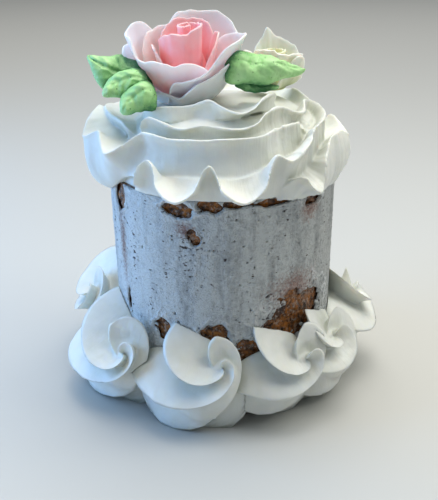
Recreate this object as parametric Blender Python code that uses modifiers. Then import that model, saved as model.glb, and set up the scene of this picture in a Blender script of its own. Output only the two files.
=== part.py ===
"""Mini cake: a thinly iced sponge with a ruffled cream top, piped rosettes, sugar roses and leaves.

Units are metres and +Z is up. The origin is on the cake's axis, at the plane the cake stands on, and the
front faces -Y. Sizes below are in millimetres and are turned to metres where a mesh is made. Angles are in
degrees, 0 at the front and growing towards +X.
"""

import math
import random

import bmesh
import bpy
import numpy as np
from mathutils import Matrix, Vector

MM = 0.001
GAP = 0.3  # between touching pieces
NAME = "mini_cake"

# Sponge and its thin coat of cream
SPONGE_RADIUS = 50.9
SPONGE_HEIGHT = 106.0
SPONGE_RELIEF = 1.0
SPONGE_SIDES = 36
SPONGE_ROWS = 6
COAT_INNER = 51.2
COAT_OUTER = 52.1
COAT_BOTTOM = 2.5
COAT_SIDES = 36
BODY_RADIUS = COAT_OUTER + GAP
RUFFLE_BASE = SPONGE_HEIGHT + GAP

# Where the coat is scraped away: angle, height, half width, half height
BARE_PATCHES = (
    (-59, 102, 5.5, 8.0),
    (-58, 79, 1.6, 12.0),
    (-55, 54, 2.6, 6.0),
    (-17, 101, 6.5, 3.6),
    (-13.5, 90.5, 3.2, 3.6),
    (20, 102.5, 11.0, 1.6),
    (42, 51, 17.0, 10.0),
    (-3, 47, 6.0, 5.5),
    (-32, 43, 4.0, 6.5),
    (17, 31, 7.0, 6.0),
    (118, 60, 7.0, 9.0),
    (150, 94, 5.0, 6.0),
    (196, 52, 10.0, 8.0),
    (238, 84, 4.0, 6.0),
)
PATCH_POINTS = 8

# Rosettes round the foot: angle round the cake, distance of the middle from the axis and from the foot,
# radius, turn of the swirl, and how far the swirl's eye lies right of and above the middle
ROSETTES = (
    (-106, 58.0, 27.0, 28.0, 100, 4.0, 2.0),
    (-62, 56.5, 24.5, 29.5, 118, 8.0, 2.0),
    (-9, 51.5, 24.0, 28.0, 128, 5.0, 2.0),
    (22, 52.0, 24.5, 25.5, 150, 9.0, 5.0),
    (54, 52.0, 24.5, 24.5, 100, 4.0, 3.0),
    (91, 55.5, 25.0, 25.5, 70, 3.0, 3.0),
    (131, 53.0, 24.0, 25.5, 20, 5.0, 2.0),
    (170, 53.0, 24.0, 25.5, 150, 4.0, 3.0),
    (210, 54.0, 24.5, 27.0, 60, 6.0, 1.0),
)
ROSETTE_TILT = 50.0  # of its axis from the vertical
ROSETTE_DOME = 15.0
ROSETTE_ROOT = 20.0
ROSETTE_ARMS = 4
ROSETTE_ARM_SPACING = 7.0
ROSETTE_RIDGE = 6.5
ROSETTE_LEAN = 20.0  # of the ridges towards the rim, in degrees
ROSETTE_FALL = 0.25  # share of the way from ridge to ridge taken by a ridge's steep outer side
ROSETTE_STEPS = 4  # points from ridge to ridge
ROSETTE_RINGS = 8
ROSETTE_GROW = 0.7  # of a rosette where it cuts its neighbour

# Ruffled top. Each ribbon has its rim, its foot and its inner valley as keys of angle, radius and height,
# with a key at each crest and dip of the frill. Its face keys say how the outer side bulges: the shares of
# the way from foot to rim, outwards and upwards, where its curve is pulled, and how far it is drawn in.
CORE_PROFILE = ((50.5, 0.0), (50.0, 4.0), (46.0, 14.0), (40.0, 22.0), (30.0, 27.0), (18.0, 29.0))
CORE_SIDES = 24
RIM_THICKNESS = 1.2
RIBBON_STEP = 9.0
SECTION_STEPS = 3
RIBBON_DEPTH = 9.0
RIBBON_FADE = 9.0


def frill(start, stop, step, dip, crest):
    """Keys of a regular frill, from a dip at one angle, with radius and height of its dips and crests."""
    count = int(round((stop - start) / step))
    return tuple((start + k * step, *(crest if k % 2 else dip)) for k in range(count + 1))


RIBBONS = {
    "skirt": {
        "rim": (
            (-44, 56, 107),
            (-38, 60.5, 115),
            (-31.5, 57.5, 122),
            (-26.5, 62, 114.5),
            (-17, 65, 110),
            (-9.5, 62, 114.5),
            (-5.4, 57.5, 122),
            (-1, 61.5, 114.5),
            (7, 64, 110),
            (16.5, 61.5, 116),
            (21.4, 57.5, 125),
            (28, 59, 121.5),
            (38, 56, 127),
            (48, 51, 131),
            (80, 46, 131),
            (110, 44, 131),
            (140, 42, 129),
        ),
        "foot": ((-44, 52.9, 106.3), (25, 52.9, 106.3), (45, 51, 116), (80, 46, 120), (140, 42, 120)),
        "valley": (
            (-44, 51, 113),
            (-16, 52.5, 116),
            (6, 52.5, 116),
            (21, 51, 119),
            (40, 47, 122),
            (60, 44, 127),
            (140, 40, 126),
        ),
        "face": ((-44, 0.25, 0.6, 0), (140, 0.25, 0.6, 0)),
    },
    "sweep": {
        "rim": (
            (24, 56, 112),
            (29, 60, 117.5),
            (39, 62.5, 108),
            (48, 57, 120),
            (58, 54, 126),
            (72, 54, 125),
            *frill(88, 248, 16, (57, 119), (54, 124)),
            (262, 60, 121),
            (280, 62.5, 122),
            (293, 57.5, 128),
            (307, 60.5, 121.5),
            (319, 48.5, 130.5),
            (336, 48.5, 129.5),
            (360, 48.3, 130.3),
            (378, 47.5, 130.6),
            (390, 44.5, 132),
            (402, 44, 132.5),
            (415, 42, 131),
        ),
        "foot": (
            (24, 53, 104.5),
            (39, 53, 103),
            (90, 53, 102.5),
            (262, 53, 101),
            (285, 53.2, 99.5),
            (300, 53, 105),
            (308, 52.5, 110),
            (318, 53, 112),
            (385, 52.5, 112),
            (400, 49, 117),
            (415, 46, 120),
        ),
        "valley": (
            (24, 50, 111),
            (60, 46, 120),
            (90, 46, 118),
            (240, 46, 118),
            (260, 49, 120),
            (285, 49, 123),
            (300, 48, 123),
            (318, 44, 126),
            (360, 43, 126.5),
            (400, 41, 129),
            (415, 41, 130),
        ),
        "face": (
            (24, 0.25, 0.6, 0),
            (39, 0.3, 0.5, 0),
            (50, 1.0, 0.35, -4),
            (72, 1.0, 0.35, -6),
            (90, 1.0, 0.3, -4),
            (250, 0.9, 0.2, -1),
            (293, 0.95, 0.15, -2),
            (308, 0.4, 0.5, 0),
            (319, 0.4, 0.65, 3.5),
            (390, 0.4, 0.65, 3.0),
            (415, 0.4, 0.6, 0),
        ),
    },
    "middle": {
        "rim": (
            (-54, 45, 127),
            (-49, 47, 132),
            (-42, 44.5, 135.8),
            (-22, 43.5, 132.6),
            (-11, 42, 134.3),
            (9, 43.5, 132.8),
            (17, 43, 134),
            (28, 38, 137),
            (40, 36, 138),
            *frill(58, 238, 18, (40, 134), (37, 136.5)),
            (254, 51, 131),
            (268, 52.5, 133),
            (280, 50, 131.5),
            (292, 46, 129.5),
            (302, 45, 126),
        ),
        "foot": (
            (-54, 44, 125),
            (0, 43, 126),
            (30, 38, 129),
            (90, 40, 123),
            (240, 45, 121),
            (270, 48, 124),
            (292, 45, 125),
            (302, 45, 122),
        ),
        "valley": (
            (-54, 38, 128),
            (-20, 36, 129.5),
            (10, 35, 130.5),
            (40, 30, 132),
            (90, 32, 130),
            (200, 33, 130),
            (270, 40, 129),
            (292, 38, 128),
            (302, 38, 126),
        ),
        "face": (
            (-54, 0.3, 0.6, 2),
            (40, 0.3, 0.6, 2),
            (240, 0.4, 0.5, 0),
            (270, 0.9, 0.4, -1.5),
            (302, 0.5, 0.5, 0),
        ),
    },
    "crown": {
        "rim": (
            (-78, 35, 134),
            (-60, 37, 136),
            (-42, 34.5, 138),
            (-26, 29.5, 138.6),
            (-19, 28.5, 139.8),
            (-11, 28.5, 141),
            (5, 34.5, 138.3),
            (12, 36.5, 137.3),
            (20, 35.5, 138.3),
            (33, 31, 141),
            (46, 29, 142),
            (58, 27, 140),
            (70, 25, 137),
        ),
        "foot": (
            (-78, 36, 131),
            (-40, 35, 132),
            (-20, 29, 134),
            (5, 31, 134),
            (30, 29, 135),
            (70, 26, 134),
        ),
        "valley": (
            (-78, 28, 132),
            (-40, 27, 134),
            (-20, 23, 135),
            (5, 26, 135),
            (40, 22, 137),
            (70, 20, 135),
        ),
        "face": ((-78, 0.5, 0.5, -0.5), (-30, 0.5, 0.5, 0), (-10, 0.3, 0.6, 1.5), (70, 0.3, 0.6, 1.5)),
    },
}

# Roses: base point, lean of the axis towards the front, and petals. A petal has its middle angle, half width
# in degrees, radius and height at the foot, radius at the rim, rim height at its left end, middle and right
# end, and flare.
PETAL_THICKNESS = 1.2
PETAL_COLUMNS = 5
PETAL_ROWS = 2
PINK_ROSE = {
    "base": (-14.5, 4.0, 136.0),
    "lean": 18.0,
    "core": (
        (0.0, 0.0),
        (9.0, 0.4),
        (12.0, 3.0),
        (11.5, 9.0),
        (9.5, 14.0),
        (8.5, 22.0),
        (6.2, 30.0),
        (0.0, 33.0),
    ),
    "pocket": (
        (0.0, -0.4),
        (9.8, 0.0),
        (14.6, 2.4),
        (19.5, 5.0),
        (22.8, 9.0),
        (24.5, 15.0),
        (27.0, 36.0),
        (0.0, 36.0),
    ),
    "petals": (
        (20, 72, 8, 1.0, 19.5, 12.0, 15.0, 24.0, 0.7),
        (108, 52, 8, 1.0, 22.0, 17.0, 20.0, 15.0, 0.7),
        (205, 56, 8, 1.0, 22.0, 14.0, 18.0, 14.0, 0.7),
        (-90, 48, 8, 1.0, 23.0, 15.0, 20.0, 12.0, 0.75),
        (30, 46, 9, 4.0, 20.0, 18.0, 22.5, 31.0, 0.9),
        (-16, 58, 9, 6.0, 19.5, 24.0, 25.5, 24.5, 1.1),
        (70, 46, 9, 8.0, 23.0, 24.0, 27.0, 30.0, 1.1),
        (-88, 34, 9, 8.0, 25.5, 30.5, 28.0, 22.0, 1.2),
        (150, 46, 9, 8.0, 22.0, 27.0, 30.0, 30.0, 1.2),
        (208, 40, 9, 8.0, 20.5, 30.0, 29.0, 26.0, 1.2),
        (160, 74, 8.5, 12.0, 12.0, 32.0, 33.0, 32.5, 1.0),
        (-20, 88, 10, 9.0, 8.0, 29.5, 32.5, 35.5, 1.4),
    ),
}
CREAM_ROSE = {
    "base": (23.5, 12.0, 137.5),
    "lean": 4.0,
    "core": ((0.0, 0.0), (6.0, 0.4), (8.5, 3.0), (7.5, 9.0), (4.5, 17.0), (0.0, 18.0)),
    "pocket": ((0.0, -0.4), (6.6, 0.0), (10.0, 2.4), (14.0, 8.0), (15.5, 30.0), (0.0, 30.0)),
    "petals": (
        (60, 62, 6, 1.0, 13.2, 13.0, 15.5, 14.0, 0.8),
        (-50, 60, 6, 1.0, 11.5, 14.0, 15.5, 14.0, 0.8),
        (180, 66, 6, 1.0, 12.0, 14.0, 21.0, 14.0, 0.9),
        (-172, 42, 6, 6.0, 7.5, 17.0, 26.0, 18.0, 1.0),
        (110, 46, 6, 6.0, 10.0, 20.0, 19.0, 17.0, 1.0),
    ),
}

# Leaves: midrib from root to tip, half width, thickness, roll of the blade about the midrib, frill
LEAF_COLUMNS = 4
LEAF_ROWS = 7
LEAVES = {
    "leaf_left_tip": ((-40, -10, 140), (-46, -12, 146), (-58, -6, 154.0), 9.5, 3.4, 62, 1.2),
    "leaf_left_fold": ((-33, -21, 142), (-41, -20, 142.5), (-50, -15, 144.5), 7.5, 4.6, 75, 1.2),
    "leaf_left_low": ((-27, -26, 143), (-33, -27, 140), (-39, -25, 136.5), 6.5, 4.0, 70, 1.0),
    "leaf_right": ((4, -13, 150.0), (18, -14, 148.5), (36, -9, 147.5), 8.5, 3.2, 55, 1.4),
    "leaf_right_low": ((10, -10, 145.0), (17, -11, 143.2), (25, -8, 142.8), 4.0, 2.4, 50, 0.6),
}


def outward(angle):
    """Unit vector away from the axis at an angle round the cake."""
    turn = math.radians(angle)
    return Vector((math.sin(turn), -math.cos(turn), 0.0))


def material(name, colour, roughness):
    """A plain finish with the given colour and roughness."""
    finish = bpy.data.materials.new(name)
    finish.use_nodes = True
    shader = finish.node_tree.nodes["Principled BSDF"]
    shader.inputs["Base Color"].default_value = (*colour, 1.0)
    shader.inputs["Roughness"].default_value = roughness
    shader.inputs["Metallic"].default_value = 0.0
    return finish


def mesh_object(name, points, faces, collection):
    """An object from points in millimetres, in triangles, with its faces turned outwards."""
    mesh = bpy.data.meshes.new(name)
    mesh.from_pydata([tuple(c * MM for c in point) for point in points], [], faces)
    shape = bmesh.new()
    shape.from_mesh(mesh)
    bmesh.ops.recalc_face_normals(shape, faces=shape.faces)
    bmesh.ops.triangulate(shape, faces=shape.faces)
    shape.to_mesh(mesh)
    shape.free()
    made = bpy.data.objects.new(name, mesh)
    collection.objects.link(made)
    return made


def apply_modifiers(piece):
    """Replaces an object's mesh by what its modifiers make of it."""
    bpy.context.view_layer.update()
    graph = bpy.context.evaluated_depsgraph_get()
    finished = bpy.data.meshes.new_from_object(piece.evaluated_get(graph))
    piece.modifiers.clear()
    old = piece.data
    piece.data = finished
    bpy.data.meshes.remove(old)


def combine(piece, other, operation, solver="EXACT", keep=False):
    """Joins or cuts a piece with another one, which is then removed unless it is kept."""
    change = piece.modifiers.new("combine", "BOOLEAN")
    change.operation = operation
    change.solver = solver
    change.object = other
    apply_modifiers(piece)
    if not keep:
        bpy.data.objects.remove(other)


def keep_largest(piece):
    """Drops the crumbs that joining or cutting can leave, so that a piece is one body."""
    shape = bmesh.new()
    shape.from_mesh(piece.data)
    left = set(shape.verts)
    islands = []
    while left:
        island = []
        queue = [left.pop()]
        while queue:
            spot = queue.pop()
            island.append(spot)
            for edge in spot.link_edges:
                other = edge.other_vert(spot)
                if other in left:
                    left.remove(other)
                    queue.append(other)
        islands.append(island)
    islands.sort(key=len)
    for island in islands[:-1]:
        bmesh.ops.delete(shape, geom=island, context="VERTS")
    shape.to_mesh(piece.data)
    shape.free()


def finish(piece, look):
    """Gives a piece its finish, shaded smooth with its sharp edges kept."""
    piece.data.materials.clear()
    piece.data.materials.append(look)
    piece.data.shade_smooth()
    piece.data.set_sharp_from_angle(angle=math.radians(50))


def loft(rings, start, end):
    """Points and faces of a skin over closed rings of equal length, closed to a point at each end."""
    count = len(rings[0])
    points = [point for ring in rings for point in ring]
    faces = []
    for row in range(len(rings) - 1):
        for k in range(count):
            after = (k + 1) % count
            low, high = row * count, (row + 1) * count
            faces.append((low + k, low + after, high + after, high + k))
    first, last = len(points), len(points) + 1
    points += [start, end]
    top = (len(rings) - 1) * count
    for k in range(count):
        after = (k + 1) % count
        faces.append((first, after, k))
        faces.append((last, top + k, top + after))
    return points, faces


def turned(name, profile, sides, collection):
    """A solid of revolution from radius and height pairs that start and end on the axis."""
    rings = []
    for radius, height in profile[1:-1]:
        rings.append([
            (radius * math.cos(turn), radius * math.sin(turn), height)
            for turn in (2 * math.pi * k / sides for k in range(sides))
        ])
    points, faces = loft(rings, (0, 0, profile[0][1]), (0, 0, profile[-1][1]))
    return mesh_object(name, points, faces, collection)


def key_slope(keys, index):
    """Rate of change at a key. It is level at crests, dips and ends, so that the curve doesn't overshoot."""
    if index in (0, len(keys) - 1):
        return np.zeros(len(keys[0]) - 1)
    spots = [np.array(keys[k], float) for k in (index - 1, index, index + 1)]
    before = (spots[1] - spots[0])[1:] / (spots[1] - spots[0])[0]
    after = (spots[2] - spots[1])[1:] / (spots[2] - spots[1])[0]
    along = before * after > 0
    total = np.where(along, before + after, 1.0)
    return np.where(along, 2 * before * after / total, 0.0)


def smooth_key(keys, angle):
    """The values of the keys at an angle, on a smooth curve through them."""
    if angle <= keys[0][0]:
        return np.array(keys[0][1:], float)
    for k in range(len(keys) - 1):
        (a, *low), (b, *high) = keys[k : k + 2]
        if angle <= b:
            low, high = np.array(low, float), np.array(high, float)
            part = (angle - a) / (b - a)
            eased = part * part * (3 - 2 * part)
            start = key_slope(keys, k) * (b - a) * part * (1 - part) ** 2
            end = key_slope(keys, k + 1) * (b - a) * part**2 * (part - 1)
            return low + (high - low) * eased + start + end
    return np.array(keys[-1][1:], float)


def bezier(start, control, end, part):
    """A point on a curve with one control point."""
    return start * (1 - part) ** 2 + control * 2 * part * (1 - part) + end * part**2


def ribbon_section(ribbon, angle, steps):
    """The closed outline, as radius and height pairs, of a ribbon of cream at an angle."""
    foot = smooth_key(ribbon["foot"], angle)
    valley = smooth_key(ribbon["valley"], angle)
    rim = smooth_key(ribbon["rim"], angle)
    first, last = ribbon["rim"][0][0], ribbon["rim"][-1][0]
    low, high, under = smooth_key(ribbon["face"], angle)
    size = min(1.0, (angle - first) / RIBBON_FADE + 0.12, (last - angle) / RIBBON_FADE + 0.12)
    rim = foot * (0.5 - 0.5 * size) + valley * (0.5 - 0.5 * size) + rim * size
    outer = foot + (rim - foot) * np.array((low, high)) - np.array((under * size, 0.0))
    inner = valley + (rim - valley) * np.array((0.55, 0.25))
    along = (rim - inner) / np.linalg.norm(rim - inner)
    across = np.array((-along[1], along[0])) * RIM_THICKNESS / 2
    section = [bezier(foot, outer, rim - across, k / steps) for k in range(steps + 1)]
    section += [bezier(valley, inner, rim + across, 1 - k / steps) for k in range(steps + 1)]
    section.append(valley - np.array((RIBBON_DEPTH, 1.0)))
    section.append(foot - np.array((RIBBON_DEPTH, 0.0)))
    return section


def ribbon(name, keys, collection):
    """One frilled ribbon of cream, as a closed solid that reaches into the core."""
    angles = [keys["rim"][0][0]]
    for (low, *_), (high, *_) in zip(keys["rim"], keys["rim"][1:]):
        count = int(math.ceil((high - low) / RIBBON_STEP))
        angles += [low + (high - low) * (k + 1) / count for k in range(count)]
    rings = []
    for angle in angles:
        way = outward(angle)
        rings.append([(r * way.x, r * way.y, z) for r, z in ribbon_section(keys, angle, SECTION_STEPS)])
    ends = [tuple(np.mean(rings[k], axis=0)) for k in (0, -1)]
    points, faces = loft(rings, *ends)
    return mesh_object(name, points, faces, collection)


def body_cutter(collection):
    """The space of the sponge with its coat, with the gap that the pieces round it keep."""
    profile = ((0, -5), (BODY_RADIUS, -5), (BODY_RADIUS, RUFFLE_BASE), (0, RUFFLE_BASE))
    return turned("body_cutter", profile, 96, collection)


def rose_frame(rose):
    """Places a rose: its base, and its axis leant towards the front."""
    place = Matrix.Translation(Vector(rose["base"]) * MM)
    return place @ Matrix.Rotation(math.radians(rose["lean"]), 4, "X")


def build_ruffle(pieces, helpers, look):
    """The ruffled top: its ribbons joined on a domed core, cut to sit on the cake and under the roses."""
    profile = [(0.0, RUFFLE_BASE)]
    profile += [(radius, RUFFLE_BASE + height) for radius, height in CORE_PROFILE]
    profile.append((0.0, profile[-1][1]))
    ruffle = turned("top_ruffle", profile, CORE_SIDES, pieces)
    for name, keys in RIBBONS.items():
        combine(ruffle, ribbon(name, keys, helpers), "UNION", "MANIFOLD")
    combine(ruffle, body_cutter(helpers), "DIFFERENCE")
    for rose in (PINK_ROSE, CREAM_ROSE):
        pocket = turned("pocket", rose["pocket"], 28, helpers)
        pocket.data.transform(rose_frame(rose))
        combine(ruffle, pocket, "DIFFERENCE")
    keep_largest(ruffle)
    finish(ruffle, look)
    return ruffle


def build_sponge(pieces, look):
    """The sponge: a straight-sided round cake with a crumbled side and flat ends."""
    draw = random.Random(11)
    rings = []
    for row in range(SPONGE_ROWS + 1):
        height = SPONGE_HEIGHT * row / SPONGE_ROWS
        edge = row in (0, SPONGE_ROWS)
        ring = []
        for k in range(SPONGE_SIDES):
            way = outward(360 * k / SPONGE_SIDES)
            radius = SPONGE_RADIUS - (0.3 if edge else draw.uniform(0, SPONGE_RELIEF))
            ring.append((radius * way.x, radius * way.y, height))
        rings.append(ring)
    points, faces = loft(rings, (0, 0, 0), (0, 0, SPONGE_HEIGHT))
    sponge = mesh_object("sponge", points, faces, pieces)
    finish(sponge, look)
    return sponge


def patch_cutter(patch, seed, collection):
    """A ragged plug that takes one bare patch out of the coat."""
    angle, height, half_width, half_height = patch
    draw = random.Random(seed)
    rings = []
    for radius in (COAT_INNER - 3, COAT_OUTER + 3):
        ring = []
        draw.seed(seed)
        for k in range(PATCH_POINTS):
            turn = 2 * math.pi * k / PATCH_POINTS
            ragged = draw.uniform(0.72, 1.12)
            side = half_width * ragged * math.cos(turn) / COAT_OUTER
            way = outward(angle + math.degrees(side))
            ring.append((radius * way.x, radius * way.y, height + half_height * ragged * math.sin(turn)))
        rings.append(ring)
    ends = [tuple(np.mean(ring, axis=0)) for ring in rings]
    points, faces = loft(rings, *ends)
    return mesh_object(f"patch_{seed}", points, faces, collection)


def build_coat(pieces, helpers, look):
    """The thin scraped coat of cream on the side, with its bare patches cut through."""
    profile = bmesh.new()
    corners = (
        (COAT_OUTER, SPONGE_HEIGHT),
        (COAT_OUTER, COAT_BOTTOM),
        (COAT_INNER, COAT_BOTTOM),
        (COAT_INNER, SPONGE_HEIGHT),
    )
    spots = [profile.verts.new((radius * MM, 0, height * MM)) for radius, height in corners]
    for k in range(4):
        profile.edges.new((spots[k], spots[(k + 1) % 4]))
    mesh = bpy.data.meshes.new("cream_coat")
    profile.to_mesh(mesh)
    profile.free()
    coat = bpy.data.objects.new("cream_coat", mesh)
    pieces.objects.link(coat)
    turn = coat.modifiers.new("turn", "SCREW")
    turn.steps = COAT_SIDES
    turn.render_steps = COAT_SIDES
    turn.use_merge_vertices = True
    turn.merge_threshold = 0.00001
    apply_modifiers(coat)
    for seed, patch in enumerate(BARE_PATCHES):
        combine(coat, patch_cutter(patch, seed, helpers), "DIFFERENCE")
    finish(coat, look)
    return coat


def rosette_mesh(name, values, grow, collection):
    """A piped swirl: star-shaped rings that shrink and twist up over a dome, on a root that narrows."""
    size, spin, right, above = values
    hollow = size - ROSETTE_RIDGE
    profile = [(0.72 * size, -ROSETTE_ROOT, 0.0), (0.88 * size, -0.42 * ROSETTE_ROOT, 0.5)]
    for k in range(ROSETTE_RINGS):
        rise = math.pi / 2 * (k / ROSETTE_RINGS) ** 0.9
        depth = 0.2 + 0.8 * math.cos(rise) ** 0.6
        profile.append((hollow * math.cos(rise), ROSETTE_DOME * math.sin(rise), depth))
    count = ROSETTE_ARMS * ROSETTE_STEPS
    rings = []
    for radius, height, depth in profile:
        twist = 360 * min(radius, hollow) / (ROSETTE_ARMS * ROSETTE_ARM_SPACING)
        rise = math.atan2(max(height, 0) / ROSETTE_DOME, radius / hollow)
        aside = 1 - min(radius / hollow, 1.0) ** 2
        ring = []
        for k in range(count):
            phase = (k % ROSETTE_STEPS) / ROSETTE_STEPS
            if phase < ROSETTE_FALL:
                ridge = 1 - phase / ROSETTE_FALL
            else:
                ridge = ((phase - ROSETTE_FALL) / (1 - ROSETTE_FALL)) ** 1.4
            push = ROSETTE_RIDGE * depth * ridge
            lean = rise - math.radians(ROSETTE_LEAN) * ridge
            turn = math.radians(spin - twist + 360 * k / count)
            reach = radius + push * math.cos(lean) + grow * math.cos(rise)
            lift = height + push * math.sin(lean) + grow * math.sin(rise)
            spot = (reach * math.cos(turn) + right * aside, reach * math.sin(turn) + above * aside)
            ring.append((*spot, lift))
        rings.append(ring)
    back = (0, 0, -ROSETTE_ROOT - grow)
    points, faces = loft(rings, back, (right, above, ROSETTE_DOME + 0.5 + grow))
    return mesh_object(name, points, faces, collection)


def rosette_frame(angle, reach, height):
    """Places a rosette at the foot of the cake, leant against its side."""
    way = outward(angle)
    across = Vector((-way.y, way.x, 0.0))
    tilt = math.radians(ROSETTE_TILT)
    axis = way * math.sin(tilt) + Vector((0, 0, math.cos(tilt)))
    up = axis.cross(across)
    turn = Matrix((across, up, axis)).transposed().to_4x4()
    return Matrix.Translation((way * reach + Vector((0, 0, height))) * MM) @ turn


def placed_rosette(name, index, grow, collection):
    """One rosette of the ring, made a little larger by grow where it is used to cut its neighbour."""
    angle, reach, height, *values = ROSETTES[index % len(ROSETTES)]
    made = rosette_mesh(name, values, grow, collection)
    made.data.transform(rosette_frame(angle, reach, height))
    return made


def build_rosettes(pieces, helpers, look):
    """The ring of rosettes. Each is overlapped by the next, stands on the flat and keeps off the cake."""
    floor_profile = ((0, -40), (120, -40), (120, 0), (0, 0))
    made = []
    for k in range(len(ROSETTES)):
        swirl = placed_rosette(f"rosette_{k + 1}", k, 0.0, pieces)
        cutters = [placed_rosette("neighbour", k + 1, grow, helpers) for grow in (0.0, ROSETTE_GROW)]
        cutters += [body_cutter(helpers), turned("floor", floor_profile, 24, helpers)]
        for cutter in cutters:
            combine(swirl, cutter, "DIFFERENCE", "MANIFOLD")
        keep_largest(swirl)
        finish(swirl, look)
        made.append(swirl)
    return made


def petal(name, values, collection, columns, rows):
    """One petal: a curved sheet that opens from its foot to a wavy rim, then given its thickness."""
    middle, half, foot_radius, foot, rim_radius, left, centre, right, flare = values
    points = []
    for row in range(rows + 1):
        rise = row / rows
        for k in range(columns + 1):
            across = 2 * k / columns - 1
            ends = left * (1 - across) / 2 + right * (1 + across) / 2
            rim = ends + (centre - (left + right) / 2) * (1 - across * across)
            rim += 0.7 * math.cos(2.5 * math.pi * across) * (1 - across * across)
            tuck = 1 - 0.13 * abs(across) ** 3 * rise
            radius = foot_radius + (rim_radius - foot_radius) * rise**flare
            way = outward(middle + half * across * (0.55 + 0.45 * rise)) * radius * tuck
            points.append((way.x, way.y, foot + (rim - foot) * rise))
    width = columns + 1
    faces = []
    for row in range(rows):
        for k in range(columns):
            corner = row * width + k
            faces.append((corner, corner + 1, corner + width + 1, corner + width))
    made = mesh_object(name, points, faces, collection)
    skin = made.modifiers.new("thickness", "SOLIDIFY")
    skin.thickness = PETAL_THICKNESS * MM
    skin.offset = 0.0
    apply_modifiers(made)
    return made


def build_rose(name, rose, pieces, helpers, look):
    """A sugar rose: its petals joined on a core with a closed bud."""
    flower = turned(name, rose["core"], 20, pieces)
    for k, values in enumerate(rose["petals"]):
        sheet = petal(f"petal_{k}", values, helpers, PETAL_COLUMNS, PETAL_ROWS)
        combine(flower, sheet, "UNION", "MANIFOLD")
    keep_largest(flower)
    flower.data.transform(rose_frame(rose))
    finish(flower, look)
    return flower


def build_leaf(name, pieces, look):
    """A piped leaf: a thin wavy solid about a bent midrib, both faces split alike."""
    root, middle, tip, half_width, thickness, roll, wave = LEAVES[name]
    root, middle, tip = (np.array(spot, float) for spot in (root, middle, tip))
    control = 2 * middle - (root + tip) / 2
    upper, lower = [], []
    for row in range(LEAF_ROWS + 1):
        part = row / LEAF_ROWS
        spot = bezier(root, control, tip, part)
        onward = bezier(root, control, tip, min(part + 0.05, 1.0))
        ahead = Vector(onward - bezier(root, control, tip, max(part - 0.05, 0.0))).normalized()
        side = ahead.cross(Vector((0, 0, 1))).normalized()
        side = Matrix.Rotation(math.radians(roll), 3, ahead) @ side
        face = side.cross(ahead).normalized()
        swell = math.sin(math.pi * min(1.0, 0.12 + 0.88 * part) ** 0.9)
        width = half_width * (0.22 + 0.78 * swell) * (1 - 0.55 * part**3)
        if row == LEAF_ROWS:
            width = 0.12 * half_width
        for k in range(LEAF_COLUMNS + 1):
            across = 2 * k / LEAF_COLUMNS - 1
            bend = 0.35 * abs(across) * width + wave * math.sin(5.2 * math.pi * part + across) * abs(across)
            depth = thickness * (0.28 + 0.22 * (1 - across * across)) * (1 - 0.5 * part)
            centre = Vector(spot) + side * across * width + face * bend
            upper.append(tuple(centre + face * depth))
            lower.append(tuple(centre - face * depth))
    wide = LEAF_COLUMNS + 1
    count = len(upper)
    faces = []
    for row in range(LEAF_ROWS):
        for k in range(LEAF_COLUMNS):
            a = row * wide + k
            for offset in (0, count):
                faces.append((offset + a, offset + a + 1, offset + a + wide + 1))
                faces.append((offset + a, offset + a + wide + 1, offset + a + wide))
    border = [k for k in range(wide)]
    border += [row * wide + wide - 1 for row in range(1, LEAF_ROWS + 1)]
    border += [LEAF_ROWS * wide + k for k in range(wide - 2, -1, -1)]
    border += [row * wide for row in range(LEAF_ROWS - 1, 0, -1)]
    for a, b in zip(border, border[1:] + border[:1]):
        faces.append((a, b, b + count, a + count))
    made = mesh_object(name, upper + lower, faces, pieces)
    finish(made, look)
    return made


def main():
    for old in list(bpy.data.objects):
        bpy.data.objects.remove(old)
    pieces = bpy.data.collections.new(NAME)
    helpers = bpy.data.collections.new("cutters")
    for group in (pieces, helpers):
        bpy.context.scene.collection.children.link(group)
    crumb = material("sponge crumb", (0.30, 0.12, 0.035), 0.85)
    cream = material("whipped cream", (0.88, 0.87, 0.83), 0.45)
    scraped = material("scraped cream", (0.72, 0.72, 0.72), 0.6)
    coral = material("pink sugar paste", (0.86, 0.42, 0.40), 0.5)
    ivory = material("ivory sugar paste", (0.86, 0.84, 0.66), 0.5)
    green = material("leaf green cream", (0.30, 0.60, 0.25), 0.55)
    build_sponge(pieces, crumb)
    build_coat(pieces, helpers, scraped)
    build_ruffle(pieces, helpers, cream)
    build_rosettes(pieces, helpers, cream)
    build_rose("rose_pink", PINK_ROSE, pieces, helpers, coral)
    build_rose("rose_cream", CREAM_ROSE, pieces, helpers, ivory)
    for name in LEAVES:
        build_leaf(name, pieces, green)


main()
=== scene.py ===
"""Mini cake: the dressed scene, its studio and its camera.

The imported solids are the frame. Every piece is rebuilt in finer form where its solid stands, from sizes in
millimetres, and gets a procedural finish. The front faces -Y, and angles round the cake are in degrees, 0 at
the front and growing towards +X.
"""

import logging
import math
from dataclasses import dataclass
from enum import Enum
from functools import partial
from typing import Any, Callable, Iterable, Sequence

import bmesh
import bpy
import numpy as np
from mathutils import Matrix, Vector, noise


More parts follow.
